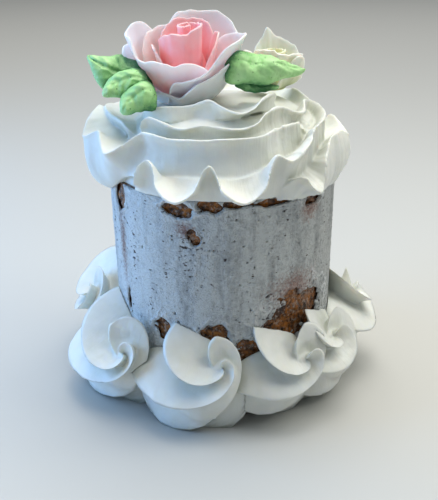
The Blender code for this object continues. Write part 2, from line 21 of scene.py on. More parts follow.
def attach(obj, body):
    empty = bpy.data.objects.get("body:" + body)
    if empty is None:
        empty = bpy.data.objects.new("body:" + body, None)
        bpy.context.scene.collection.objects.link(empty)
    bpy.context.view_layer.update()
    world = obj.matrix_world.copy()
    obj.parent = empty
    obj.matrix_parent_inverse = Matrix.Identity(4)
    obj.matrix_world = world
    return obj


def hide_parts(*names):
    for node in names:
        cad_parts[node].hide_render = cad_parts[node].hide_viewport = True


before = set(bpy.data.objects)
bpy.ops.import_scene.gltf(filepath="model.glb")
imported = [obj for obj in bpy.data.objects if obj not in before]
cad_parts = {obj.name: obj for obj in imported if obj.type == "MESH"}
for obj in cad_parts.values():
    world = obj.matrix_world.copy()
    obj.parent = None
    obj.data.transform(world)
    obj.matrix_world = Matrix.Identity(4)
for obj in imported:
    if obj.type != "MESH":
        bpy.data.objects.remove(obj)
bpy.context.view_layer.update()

MM = 0.001
GAP = 0.3
BODY_RADIUS = 52.4  # of the iced side, with the gap that the pieces round it keep
BODY_SIDES = 180
SPONGE_HEIGHT = 106.0
RUFFLE_BASE = SPONGE_HEIGHT + GAP

# settings of a mix of two colours, plain or multiplied
COLOURS = {"data_type": "RGBA"}
SHADES = {"data_type": "RGBA", "blend_type": "MULTIPLY"}

Spot = tuple[float, float, float]
Keys = tuple[tuple[float, ...], ...]
Pair = tuple[float, float]
Profile = Sequence[Pair]
Faces = list[tuple[int, ...]]
Source = bpy.types.Node | bpy.types.NodeSocket

log = logging.getLogger("mini_cake")


class Slot(Enum):
    """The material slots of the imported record."""

    CRUMB = "crumb"
    THIN_COAT = "thin_coat"
    CREAM = "cream"
    PINK_PASTE = "pink_paste"
    IVORY_PASTE = "ivory_paste"
    LEAF_CREAM = "leaf_cream"


class Cut(Enum):
    """How one closed mesh changes another."""

    JOIN = "UNION"
    REMOVE = "DIFFERENCE"
    KEEP = "INTERSECT"


# Colour and nodes


def srgb(code: str) -> tuple[float, float, float, float]:
    """Turns an sRGB hex colour to the linear values that a shader takes.

    Args:
        code: The colour as "#rrggbb".

    Returns:
        Linear red, green, blue and full alpha.
    """
    parts = [int(code[k : k + 2], 16) / 255 for k in (1, 3, 5)]
    linear = [c / 12.92 if c <= 0.04045 else ((c + 0.055) / 1.055) ** 2.4 for c in parts]
    return (linear[0], linear[1], linear[2], 1.0)


def add_node(
    tree: bpy.types.NodeTree,
    kind: str,
    settings: dict[str | int, Any] | None = None,
    links: dict[str | int, Source] | None = None,
) -> bpy.types.Node:
    """Adds a node with its settings and its links.

    By number, a mix takes its share at 0 and its colours at 6 and 7, or its numbers at 2 and 3, and a range
    has the range that it takes at 1 and 2 and the one that it gives at 3 and 4.

    Args:
        tree: The node tree that it joins.
        kind: The node's type, without "ShaderNode".
        settings: Values by name, of an input where it has one of that name or number, else of the node. A
            ramp's "stops" are the place and hex colour of each, in order.
        links: What feeds each input, by its name or number: a socket, or a node for its first live output.

    Returns:
        The new node.
    """
    node = tree.nodes.new("ShaderNode" + kind)
    for name, value in (settings or {}).items():
        if name == "stops":
            for _ in value[2:]:
                node.color_ramp.elements.new(0.5)
            for element, (place, code) in zip(node.color_ramp.elements, value):
                element.position, element.color = place, srgb(code)
        elif isinstance(name, int) or name in node.inputs:
            node.inputs[name].default_value = value
        else:
            setattr(node, name, value)
    for name, source in (links or {}).items():
        if isinstance(source, bpy.types.Node):
            source = next(socket for socket in source.outputs if socket.enabled)
        tree.links.new(source, node.inputs[name])
    return node


@dataclass(frozen=True)
class Finish:
    """A finish of the cake. Each kind below says what the real stuff is and what it gives the eye."""

    name: str

    def paint(self, tree: bpy.types.NodeTree) -> bpy.types.Node:
        """Lays the finish's nodes, which each kind does in its own way.

        Args:
            tree: The material's tree, empty.

        Returns:
            The shader.
        """
        raise NotImplementedError

    def build(self) -> bpy.types.Material:
        """Makes the material.

        Returns:
            The material, painted.
        """
        material = bpy.data.materials.new(self.name)
        material.use_nodes = True
        material.node_tree.nodes.clear()
        shader = self.paint(material.node_tree)
        add_node(material.node_tree, "OutputMaterial", links={"Surface": shader})
        return material

    def place(self, tree: bpy.types.NodeTree) -> bpy.types.Node:
        """Returns the node with each point's place in the row frame, in millimetres."""
        spot = add_node(tree, "TexCoord").outputs["Object"]
        return add_node(tree, "VectorMath", {"operation": "SCALE", "Scale": 1 / MM}, {0: spot})

    def around(self, tree: bpy.types.NodeTree, across: float, upward: float) -> bpy.types.Node:
        """A pattern place that runs round the cake's axis, for marks that rise from foot to rim.

        Args:
            tree: The material's tree.
            across: Pattern cells per radian round the axis.
            upward: Pattern cells per millimetre of height.

        Returns:
            The node with that place.
        """
        parts = add_node(tree, "SeparateXYZ", links={0: self.place(tree)}).outputs
        turn = add_node(tree, "Math", {"operation": "ARCTAN2"}, {0: parts[0], 1: parts[1]})
        wide = add_node(tree, "Math", {"operation": "MULTIPLY", 1: across}, {0: turn})
        high = add_node(tree, "Math", {"operation": "MULTIPLY", 1: upward}, {0: parts[2]})
        return add_node(tree, "CombineXYZ", links={0: wide, 2: high})


@dataclass(frozen=True)
class WhippedCream(Finish):
    """Stiffly whipped dairy cream, piped through a petal nozzle.

    It gives the eye a bright, slightly warm white that light enters a little way, with a soft satin sheen,
    fine air bubbles about 0.45 mm across, drawn twice as coarse to show, and faint drag marks that rise from
    foot to rim where the nozzle pulled it. Its folds and hollows carry painted shade.
    """

    light: str = "#eef0ec"
    # deep is painted shade, the grey that the folds and hollows take
    deep: str = "#c2c6ba"
    bubble_mm: float = 0.45
    drag_cells: float = 60.0

    def paint(self, tree: bpy.types.NodeTree) -> bpy.types.Node:
        """Lays a white with painted shade in the folds and hollows, over drag marks and bubbles.

        Args:
            tree: The material's tree, empty.

        Returns:
            The shader.
        """
        add = partial(add_node, tree)
        spot = self.place(tree)
        # painted shade: the white deepens towards deep where ambient occlusion finds folds and hollows
        hollow = add("AmbientOcclusion", {"Distance": 0.009, "samples": 6}).outputs["AO"]
        tone = add("ValToRGB", {"stops": ((0.15, self.deep), (0.8, self.light))}, {0: hollow})
        patchy = add("TexNoise", {"Scale": 0.09, "Detail": 3.0}, {"Vector": spot})
        shift = add("ValToRGB", {"stops": ((0.3, "#ebebe6"), (0.7, "#ffffff"))}, {0: patchy})
        base = add("Mix", {**SHADES, 0: 0.6}, {6: tone, 7: shift})
        way = self.around(tree, self.drag_cells, 0.12)
        drag = add("TexNoise", {"Scale": 1.0, "Detail": 2.0}, {"Vector": way})
        fine = add("TexNoise", {"Scale": 1 / self.bubble_mm / 2, "Detail": 3.0}, {"Vector": spot})
        soft = add("Bump", {"Strength": 0.3, "Distance": 0.0005}, {"Height": drag})
        grain = add("Bump", {"Strength": 0.18, "Distance": 0.0003}, {"Height": fine, "Normal": soft})
        settings = {
            "Roughness": 0.42,
            "IOR": 1.45,
            "Subsurface Weight": 0.35,
            "Subsurface Radius": (1.0, 0.85, 0.6),
            "Subsurface Scale": 0.0025,
        }
        return add("BsdfPrincipled", settings, {"Base Color": base, "Normal": grain})


@dataclass(frozen=True)
class ScrapedCream(Finish):
    """The same cream scraped so thin over brown crumb that the crumb greys it.

    The eye gets a pale matt skin with darker upright bands where it is thinnest, fine lines where the
    scraper left a ridge, small dark pits of about 0.8 mm, drawn twice as coarse to show, and brown smears
    near the bare places. It also carries painted shade by angle, darkest on the side away from the window.
    """

    thick: str = "#e8eff2"
    thin: str = "#aab0b5"
    # painted shade: the grey multiplied in on the side away from the window
    side_shade_colour: str = "#c4bfba"
    crumb: str = "#453c3b"
    stain: str = "#94685a"
    ridge: str = "#f1f4f6"
    pit_mm: float = 1.6

    def paint(self, tree: bpy.types.NodeTree) -> bpy.types.Node:
        """Lays the bands, then a painted side shade by angle, the pits, the ridges and the stains over them.

        Args:
            tree: The material's tree, empty.

        Returns:
            The shader.
        """
        add = partial(add_node, tree)
        spot = self.place(tree)
        coarse = {"Scale": 1.0, "Detail": 5.0, "Roughness": 0.6}
        bands = add("TexNoise", coarse, {"Vector": self.around(tree, 7.0, 0.02)})
        cloud = add("TexNoise", {"Scale": 0.35, "Detail": 6.0, "Roughness": 0.7}, {"Vector": spot})
        cover = add("Mix", {"data_type": "FLOAT", 0: 0.45}, {2: bands, 3: cloud})
        tone = add("ValToRGB", {"stops": ((0.36, self.thin), (0.54, self.thick))}, {0: cover})
        pitted = {"Scale": 1 / self.pit_mm, "Detail": 4.0, "Roughness": 0.55}
        cells = add("TexNoise", pitted, {"Vector": self.around(tree, 36.0, 1.1)})
        crowd = add("TexNoise", {"Scale": 1.0, "Detail": 2.0}, {"Vector": self.around(tree, 9.0, 0.03)})
        depth = add("Math", {"operation": "MULTIPLY_ADD", 1: 0.6}, {0: crowd, 2: cells})
        pits = add("ValToRGB", {"stops": ((0.59, "#000000"), (0.645, "#ffffff"))}, {0: depth})
        # painted shade by angle: a multiplied grey away from the cool window, and bands calmed to the thick
        # colour as painted light on the lit front left
        wear = add("Attribute", {"attribute_name": "wear"}).outputs["Fac"]
        lit_side_share = add("MapRange", {1: 0.0, 2: 0.24, 3: 0.65, 4: 0.0}, {0: wear})
        skin = add("Mix", {**COLOURS, 7: srgb(self.thick)}, {0: lit_side_share, 6: tone})
        side_shade_colour = add("Mix", {**SHADES, 7: srgb(self.side_shade_colour)}, {0: wear, 6: skin})
        speckled = add("Mix", {**COLOURS, 6: srgb(self.crumb)}, {0: pits, 7: side_shade_colour})
        bare = add("Attribute", {"attribute_name": "bare"}).outputs["Fac"]
        shifted = add("Math", {"operation": "ADD", 1: 1.0}, {0: bare})
        rolled = ((0.56, "#000000"), (0.72, "#f0f0f0"), (0.83, "#000000"))
        lips = add("ValToRGB", {"stops": rolled}, {0: shifted})
        narrow = ((0.478, "#000000"), (0.49, "#b4b4b4"), (0.502, "#000000"))
        lines = add("ValToRGB", {"stops": narrow}, {0: bands})
        ridges = add("Math", {"operation": "MAXIMUM"}, {0: lips, 1: lines})
        raised = add("Mix", {**COLOURS, 7: srgb(self.ridge)}, {0: ridges, 6: speckled})
        haze = add("Attribute", {"attribute_name": "haze"}).outputs["Fac"]
        smudge = add("TexNoise", {"Scale": 0.9, "Detail": 4.0, "Roughness": 0.6}, {"Vector": spot})
        near = add("Math", {"operation": "MULTIPLY_ADD", 1: 2.2, 2: -1.1}, {0: smudge})
        total = add("Math", {"operation": "ADD"}, {0: haze, 1: near})
        stain = add("MapRange", {1: 0.05, 2: 0.9, 3: 0.0, 4: 0.8}, {0: total})
        base = add("Mix", {**COLOURS, 7: srgb(self.stain)}, {0: stain, 6: raised})
        plaster = add("TexNoise", {"Scale": 1.1, "Detail": 5.0, "Roughness": 0.6}, {"Vector": spot})
        rough = add("Bump", {"Strength": 1.0, "Distance": 0.0016}, {"Height": cloud})
        grain = add("Bump", {"Strength": 1.0, "Distance": 0.001}, {"Height": plaster, "Normal": rough})
        deep = add("Bump", {"Strength": 0.6, "Distance": 0.0006}, {"Height": pits, "Normal": grain})
        proud = add("Bump", {"Strength": 0.8, "Distance": 0.0004}, {"Height": ridges, "Normal": deep})
        settings = {
            "Roughness": 0.62,
            "Subsurface Weight": 0.1,
            "Subsurface Radius": (1.0, 0.8, 0.6),
            "Subsurface Scale": 0.001,
        }
        return add("BsdfPrincipled", settings, {"Base Color": base, "Normal": proud})


@dataclass(frozen=True)
class SpongeCrumb(Finish):
    """Baked sponge with a moist brown crust, torn open where the cream came away.

    It gives the eye a dark toffee brown, mottled with lighter crumb, holes of about 1.5 mm with painted
    shade inside them, smears of leftover cream, and a slight wet shine.
    """

    light: str = "#a8661f"
    dark: str = "#371e12"
    smear: str = "#b9aca4"
    hole_mm: float = 1.5

    def paint(self, tree: bpy.types.NodeTree) -> bpy.types.Node:
        """Lays mottled brown with painted shade in the holes, and the smears over them.

        Args:
            tree: The material's tree, empty.

        Returns:
            The shader.
        """
        add = partial(add_node, tree)
        spot = self.place(tree)
        mottle = add("TexNoise", {"Scale": 0.24, "Detail": 6.0, "Roughness": 0.68}, {"Vector": spot})
        tone = add("ValToRGB", {"stops": ((0.42, self.dark), (0.62, self.light))}, {0: mottle})
        holes = add("TexVoronoi", {"Scale": 1 / self.hole_mm}, {"Vector": spot})
        # painted shade: near black brown inside the holes
        mask = add("ValToRGB", {"stops": ((0.12, "#2a1710"), (0.4, "#ffffff"))}, {0: holes})
        shaded = add("Mix", {**SHADES, 0: 0.75}, {6: tone, 7: mask})
        left = add("TexNoise", {"Scale": 0.6, "Detail": 5.0, "Roughness": 0.6}, {"Vector": spot})
        smears = add("ValToRGB", {"stops": ((0.53, "#000000"), (0.62, "#b8b8b8"))}, {0: left})
        base = add("Mix", {**COLOURS, 7: srgb(self.smear)}, {0: smears, 6: shaded})
        relief = add("Bump", {"Strength": 0.7, "Distance": 0.0008}, {"Height": holes})
        coarse = add("Bump", {"Strength": 0.6, "Distance": 0.001}, {"Height": mottle, "Normal": relief})
        return add("BsdfPrincipled", {"Roughness": 0.34}, {"Base Color": base, "Normal": coarse})


@dataclass(frozen=True)
class SugarPaste(Finish):
    """Rolled sugar paste petals, brushed with colour from the heart outwards.

    It gives the eye a smooth, waxy, translucent sheet, deepest at the heart and near white at the rims, with
    a powdery grain of about 0.3 mm.
    """

    stops: tuple[tuple[float, str], ...] = ()
    powder_mm: float = 1 / 3

    def paint(self, tree: bpy.types.NodeTree) -> bpy.types.Node:
        """Lays the brushed colour by each petal's own tint, and the powder.

        Args:
            tree: The material's tree, empty.

        Returns:
            The shader.
        """
        add = partial(add_node, tree)
        spot = self.place(tree)
        tint = add("Attribute", {"attribute_name": "tint"}).outputs["Fac"]
        cloud = add("TexNoise", {"Scale": 0.25, "Detail": 3.0}, {"Vector": spot})
        sway = add("Math", {"operation": "MULTIPLY_ADD", 1: 0.3, 2: -0.15}, {0: cloud})
        brushed = add("Math", {"operation": "ADD"}, {0: tint, 1: sway})
        tone = add("ValToRGB", {"stops": self.stops}, {0: brushed})
        powder = add("TexNoise", {"Scale": 1 / self.powder_mm, "Detail": 2.0}, {"Vector": spot})
        grain = add("Bump", {"Strength": 0.08, "Distance": 0.0002}, {"Height": powder})
        settings = {
            "Roughness": 0.48,
            "Subsurface Weight": 0.75,
            "Subsurface Radius": (1.0, 0.7, 0.65),
            "Subsurface Scale": 0.003,
        }
        return add("BsdfPrincipled", settings, {"Base Color": tone, "Normal": grain})


@dataclass(frozen=True)
class LeafCream(Finish):
    """Buttercream piped as leaves, tinted leaf green.

    It gives the eye a fresh green with a satin sheen, and painted light and shade: paler on the ridges and
    deeper in the folds. A few burst air bubbles about 0.5 mm across, one to each cell of 2.2 mm, are painted
    in the fold green, as the shade inside them.
    """

    # light is painted light on the open ridges, mid the leaf's own green, dark painted shade in folds and
    # bubbles
    light: str = "#c6f0b0"
    mid: str = "#96d685"
    dark: str = "#2f7240"
    cell_mm: float = 2.2

    def paint(self, tree: bpy.types.NodeTree) -> bpy.types.Node:
        """Lays green by how open each place is to the air, as painted shade in the folds and painted light
        on the ridges, with the bubbles painted in it as dark shade.

        Args:
            tree: The material's tree, empty.

        Returns:
            The shader.
        """
        add = partial(add_node, tree)
        spot = self.place(tree)
        cloud = add("TexNoise", {"Scale": 0.16, "Detail": 5.0, "Roughness": 0.65}, {"Vector": spot})
        # painted shade and light: darker green where ambient occlusion finds a fold, paler where the leaf is
        # open
        ao_fold_shade = add("AmbientOcclusion", {"Distance": 0.012, "samples": 6}).outputs["AO"]
        raised = add("MapRange", {1: 0.3, 2: 0.95, 3: -0.35, 4: 0.52}, {0: ao_fold_shade})
        depth = add("Math", {"operation": "MULTIPLY_ADD", 1: 0.45}, {0: cloud, 2: raised})
        greens = ((0.3, self.dark), (0.58, self.mid), (0.86, self.light))
        tone = add("ValToRGB", {"stops": greens}, {0: depth})
        bubbles = add("TexVoronoi", {"Scale": 1 / self.cell_mm}, {"Vector": spot})
        # the bubbles are painted in the dark fold green, as the shade inside them
        holes = add("ValToRGB", {"stops": ((0.07, "#000000"), (0.15, "#ffffff"))}, {0: bubbles})
        base = add("Mix", {**COLOURS, 6: srgb(self.dark)}, {0: holes, 7: tone})
        dimple = add("Bump", {"Strength": 0.3, "Distance": 0.0004}, {"Height": holes})
        settings = {
            "Roughness": 0.5,
            "Subsurface Weight": 0.15,
            "Subsurface Radius": (0.5, 1.0, 0.4),
            "Subsurface Scale": 0.001,
        }
        return add("BsdfPrincipled", settings, {"Base Color": base, "Normal": dimple})


# Mesh tools


def outward(angle: float) -> Vector:
    """Returns the unit vector away from the axis at an angle round the cake."""
    turn = math.radians(angle)
    return Vector((math.sin(turn), -math.cos(turn), 0.0))


def stand(spot: Sequence[float], axes: tuple[Vector, Vector, Vector]) -> Matrix:
    """Returns the matrix with these axes and with its origin at a place, in metres."""
    return Matrix.Translation(spot) @ Matrix(axes).transposed().to_4x4()


def bumps(spot: Vector, rules: Profile) -> float:
    """Returns the sum of smooth bumps at a place, each by its depth and size."""
    return sum(depth * noise.noise(spot / size) for depth, size in rules)


def link(name: str, data: bpy.types.ID) -> bpy.types.Object:
    """Makes an object of a mesh, light or camera.

    Args:
        name: The object's name.
        data: What it holds.

    Returns:
        The object, linked to the scene.
    """
    made = bpy.data.objects.new(name, data)
    bpy.context.scene.collection.objects.link(made)
    return made


def mesh_piece(name: str, points: Iterable[Sequence[float]], faces: Faces) -> bpy.types.Object:
    """Makes an object from points in millimetres, in triangles, with its faces turned outwards.

    Args:
        name: The object's name.
        points: The points.
        faces: Point numbers of each face.

    Returns:
        The object, linked to the scene.
    """
    mesh = bpy.data.meshes.new(name)
    mesh.from_pydata([tuple(c * MM for c in point) for point in points], [], faces)
    shape = bmesh.new()
    shape.from_mesh(mesh)
    bmesh.ops.recalc_face_normals(shape, faces=shape.faces)
    bmesh.ops.triangulate(shape, faces=shape.faces)
    shape.to_mesh(mesh)
    shape.free()
    return link(name, mesh)


def settle(piece: bpy.types.Object) -> None:
    """Replaces an object's mesh by what its modifiers make of it.

    Args:
        piece: The object.
    """
    bpy.context.view_layer.update()
    graph = bpy.context.evaluated_depsgraph_get()
    finished = bpy.data.meshes.new_from_object(piece.evaluated_get(graph))
    piece.modifiers.clear()
    old = piece.data
    piece.data = finished
    bpy.data.meshes.remove(old)


def combine(piece: bpy.types.Object, other: bpy.types.Object, how: Cut) -> None:
    """Joins or cuts a piece with another one, which is then removed.

    Args:
        piece: The piece that changes.
        other: The tool.
        how: Whether it is joined, taken away, or all that is kept.
    """
    change = piece.modifiers.new("combine", "BOOLEAN")
    change.operation = how.value
    change.solver = "MANIFOLD"
    change.object = other
    settle(piece)
    mesh = other.data
    bpy.data.objects.remove(other)
    bpy.data.meshes.remove(mesh)


def soften(piece: bpy.types.Object, voxel_mm: float, rounds: int, keep: float = 1.0) -> None:
    """Gives a piece an even skin whose creases run into each other, as in soft cream.

    Args:
        piece: The piece.
        voxel_mm: Size of the even cells.
        rounds: Smoothing rounds.
        keep: Share of the faces that stays, fewest where the skin is flat.
    """
    skin = piece.modifiers.new("skin", "REMESH")
    skin.mode = "VOXEL"
    skin.voxel_size = voxel_mm * MM
    ease = piece.modifiers.new("ease", "SMOOTH")
    ease.factor = 0.5
    ease.iterations = rounds
    if keep < 1:
        piece.modifiers.new("thin", "DECIMATE").ratio = keep
    settle(piece)


def press(piece: bpy.types.Object, depth: Callable[[Vector], float]) -> None:
    """Moves a piece's points along their normals.

    Args:
        piece: The piece.
        depth: Gives the way that a point moves, in millimetres, from its place in metres.
    """
    mesh = piece.data
    normals = [Vector(normal.vector) for normal in mesh.vertex_normals]
    for vertex, normal in zip(mesh.vertices, normals):
        vertex.co += normal * depth(vertex.co) * MM


def roughen(piece: bpy.types.Object, rules: Profile) -> None:
    """Moves a piece's points a little along their normals, by smooth noise.

    Args:
        piece: The piece.
        rules: Depth and size of the bumps, both in millimetres, coarse first.
    """
    press(piece, lambda spot: bumps(spot / MM, rules))


def loft(rings: list[list[Spot]], start: Spot, end: Spot) -> tuple[list[Spot], Faces]:
    """Skins closed rings of equal length, closed to a point at each end.

    Args:
        rings: The rings, in order.
        start: The point that closes the first ring.
        end: The point that closes the last ring.

    Returns:
        Points and faces.
    """
    count = len(rings[0])
    points = [point for ring in rings for point in ring]
    faces: Faces = []
    for low in range(0, len(points) - count, count):
        for k in range(count):
            after = (k + 1) % count
            faces.append((low + k, low + after, low + count + after, low + count + k))
    first, last, top = len(points), len(points) + 1, len(points) - count
    for k in range(count):
        after = (k + 1) % count
        faces += [(first, after, k), (last, top + k, top + after)]
    return [*points, start, end], faces


def turned(name: str, profile: Profile, sides: int) -> bpy.types.Object:
    """Makes a solid of revolution.

    Args:
        name: The object's name.
        profile: Radius and height pairs that start and end on the axis.
        sides: Points round the axis.

    Returns:
        The object.
    """
    turns = [2 * math.pi * k / sides for k in range(sides)]
    rings = [[(r * math.cos(turn), r * math.sin(turn), z) for turn in turns] for r, z in profile[1:-1]]
    return mesh_piece(name, *loft(rings, (0, 0, profile[0][1]), (0, 0, profile[-1][1])))


def barrel(
    heights: Sequence[float], sides: int, shift: float, reach: Callable[[float, float], float]
) -> list[list[Spot]]:
    """Rings round the axis, for a rough round.

    Args:
        heights: Height of each ring.
        sides: Points round it.
        shift: Where its first point is, as a share of the step round.
        reach: Gives the radius at an angle and a height.

    Returns:
        The rings.
    """
    angles = [360 * (k + shift) / sides for k in range(sides)]
    ways = [outward(angle) for angle in angles]
    return [
        [(far * way.x, far * way.y, z) for way, far in zip(ways, (reach(angle, z) for angle in angles))]
        for z in heights
    ]


def key_slope(keys: Keys, index: int) -> np.ndarray:
    """Rate of change at a key, level at crests, dips and ends, so that the curve doesn't overshoot.

    Args:
        keys: Tuples of an angle and its values.
        index: The key's number.

    Returns:
        One rate for each value.
    """
    if index in (0, len(keys) - 1):
        return np.zeros(len(keys[0]) - 1)
    spots = [np.array(keys[k], float) for k in (index - 1, index, index + 1)]
    before = (spots[1] - spots[0])[1:] / (spots[1] - spots[0])[0]
    after = (spots[2] - spots[1])[1:] / (spots[2] - spots[1])[0]
    along = before * after > 0
    total = np.where(along, before + after, 1.0)
    return np.where(along, 2 * before * after / total, 0.0)


def smooth_key(keys: Keys, angle: float) -> np.ndarray:
    """The values of keys at an angle, on a smooth curve through them.

    Args:
        keys: Tuples of an angle and its values.
        angle: The angle asked for.

    Returns:
        The values there.
    """
    if angle <= keys[0][0]:
        return np.array(keys[0][1:], float)
    for k in range(len(keys) - 1):
        (a, *low), (b, *high) = keys[k : k + 2]
        if angle <= b:
            near, far = np.array(low, float), np.array(high, float)
            part = (angle - a) / (b - a)
            eased = part * part * (3 - 2 * part)
            start = key_slope(keys, k) * (b - a) * part * (1 - part) ** 2
            end = key_slope(keys, k + 1) * (b - a) * part**2 * (part - 1)
            return near + (far - near) * eased + start + end
    return np.array(keys[-1][1:], float)


def bezier(start: np.ndarray, control: np.ndarray, end: np.ndarray, part: float) -> np.ndarray:
    """Returns a point on a curve with one control point."""
    return start * (1 - part) ** 2 + control * 2 * part * (1 - part) + end * part**2


def frill(start: float, stop: float, step: float, dip: Pair, crest: Pair) -> Keys:
    """Keys of a regular frill, starting from a dip.

    Args:
        start: First angle.
        stop: Last angle.
        step: Angle from each key to the next.
        dip: Radius and height of the dips.
        crest: Radius and height of the crests.

    Returns:
        The keys.
    """
    count = round((stop - start) / step)
    return tuple((start + k * step, *(crest if k % 2 else dip)) for k in range(count + 1))


def mark(piece: bpy.types.Object, name: str, values: Sequence[float]) -> None:
    """Gives a piece's points a value each, which its finish reads by name."""
    piece.data.attributes.new(name, "FLOAT", "POINT").data.foreach_set("value", values)


def dress(piece: bpy.types.Object, node: str, material: bpy.types.Material) -> None:
    """Gives a piece its finish and its place in the frame.

    Args:
        piece: The piece.
        node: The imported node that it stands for.
        material: Its finish.
    """
    piece.data.materials.clear()
    piece.data.materials.append(material)
    piece.data.shade_smooth()
    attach(piece, "root")
    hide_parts(node)
    log.info("%s: %d faces, %s", piece.name, len(piece.data.polygons), material.name)


def body_cutter() -> bpy.types.Object:
    """Returns the space of the iced cake, with the gap that the pieces round it keep."""
    profile = ((0, -5), (BODY_RADIUS, -5), (BODY_RADIUS, RUFFLE_BASE), (0, RUFFLE_BASE))
    return turned("body_cutter", profile, BODY_SIDES)


# The cake under its toppings


@dataclass
class Sponge:
    """The baked cake: a straight round with a torn, crumbly side and flat ends. Sizes in millimetres."""

    radius: float = 50.9
    height: float = SPONGE_HEIGHT
    relief: float = 1.0
    edge_relief: float = 0.4
    crumbs: Profile = ((0.9, 4.0), (0.5, 1.6))
    sides: int = 420
    rows: int = 130
    cap_shares: tuple[float, ...] = (0.35, 0.7)

    def reach(self, angle: float, height: float) -> float:
        """The radius of the torn side.

        Args:
            angle: The angle round the cake.
            height: The height.

        Returns:
            The radius there, torn less at the edges.
        """
        way = outward(angle)
        spot = Vector((way.x * self.radius, way.y * self.radius, height))
        edge = self.edge_relief if height in (0, self.height) else 1.0
        return self.radius - self.relief * edge * min(1.0, max(0.0, 0.5 + bumps(spot, self.crumbs)))

    def build(self, material: bpy.types.Material) -> bpy.types.Object:
        """Makes the sponge, with rings across its flat ends.

        Args:
            material: Its finish.

        Returns:
            The dressed sponge.
        """
        heights = [self.height * row / self.rows for row in range(self.rows + 1)]
        rings = barrel(heights, self.sides, 0.0, self.reach)
        foot = [[(x * share, y * share, z) for x, y, z in rings[0]] for share in self.cap_shares]
        head = [[(x * share, y * share, z) for x, y, z in rings[-1]] for share in self.cap_shares[::-1]]
        piece = mesh_piece("baked_sponge", *loft(foot + rings + head, (0, 0, 0), (0, 0, self.height)))
        dress(piece, "sponge", material)
        return piece


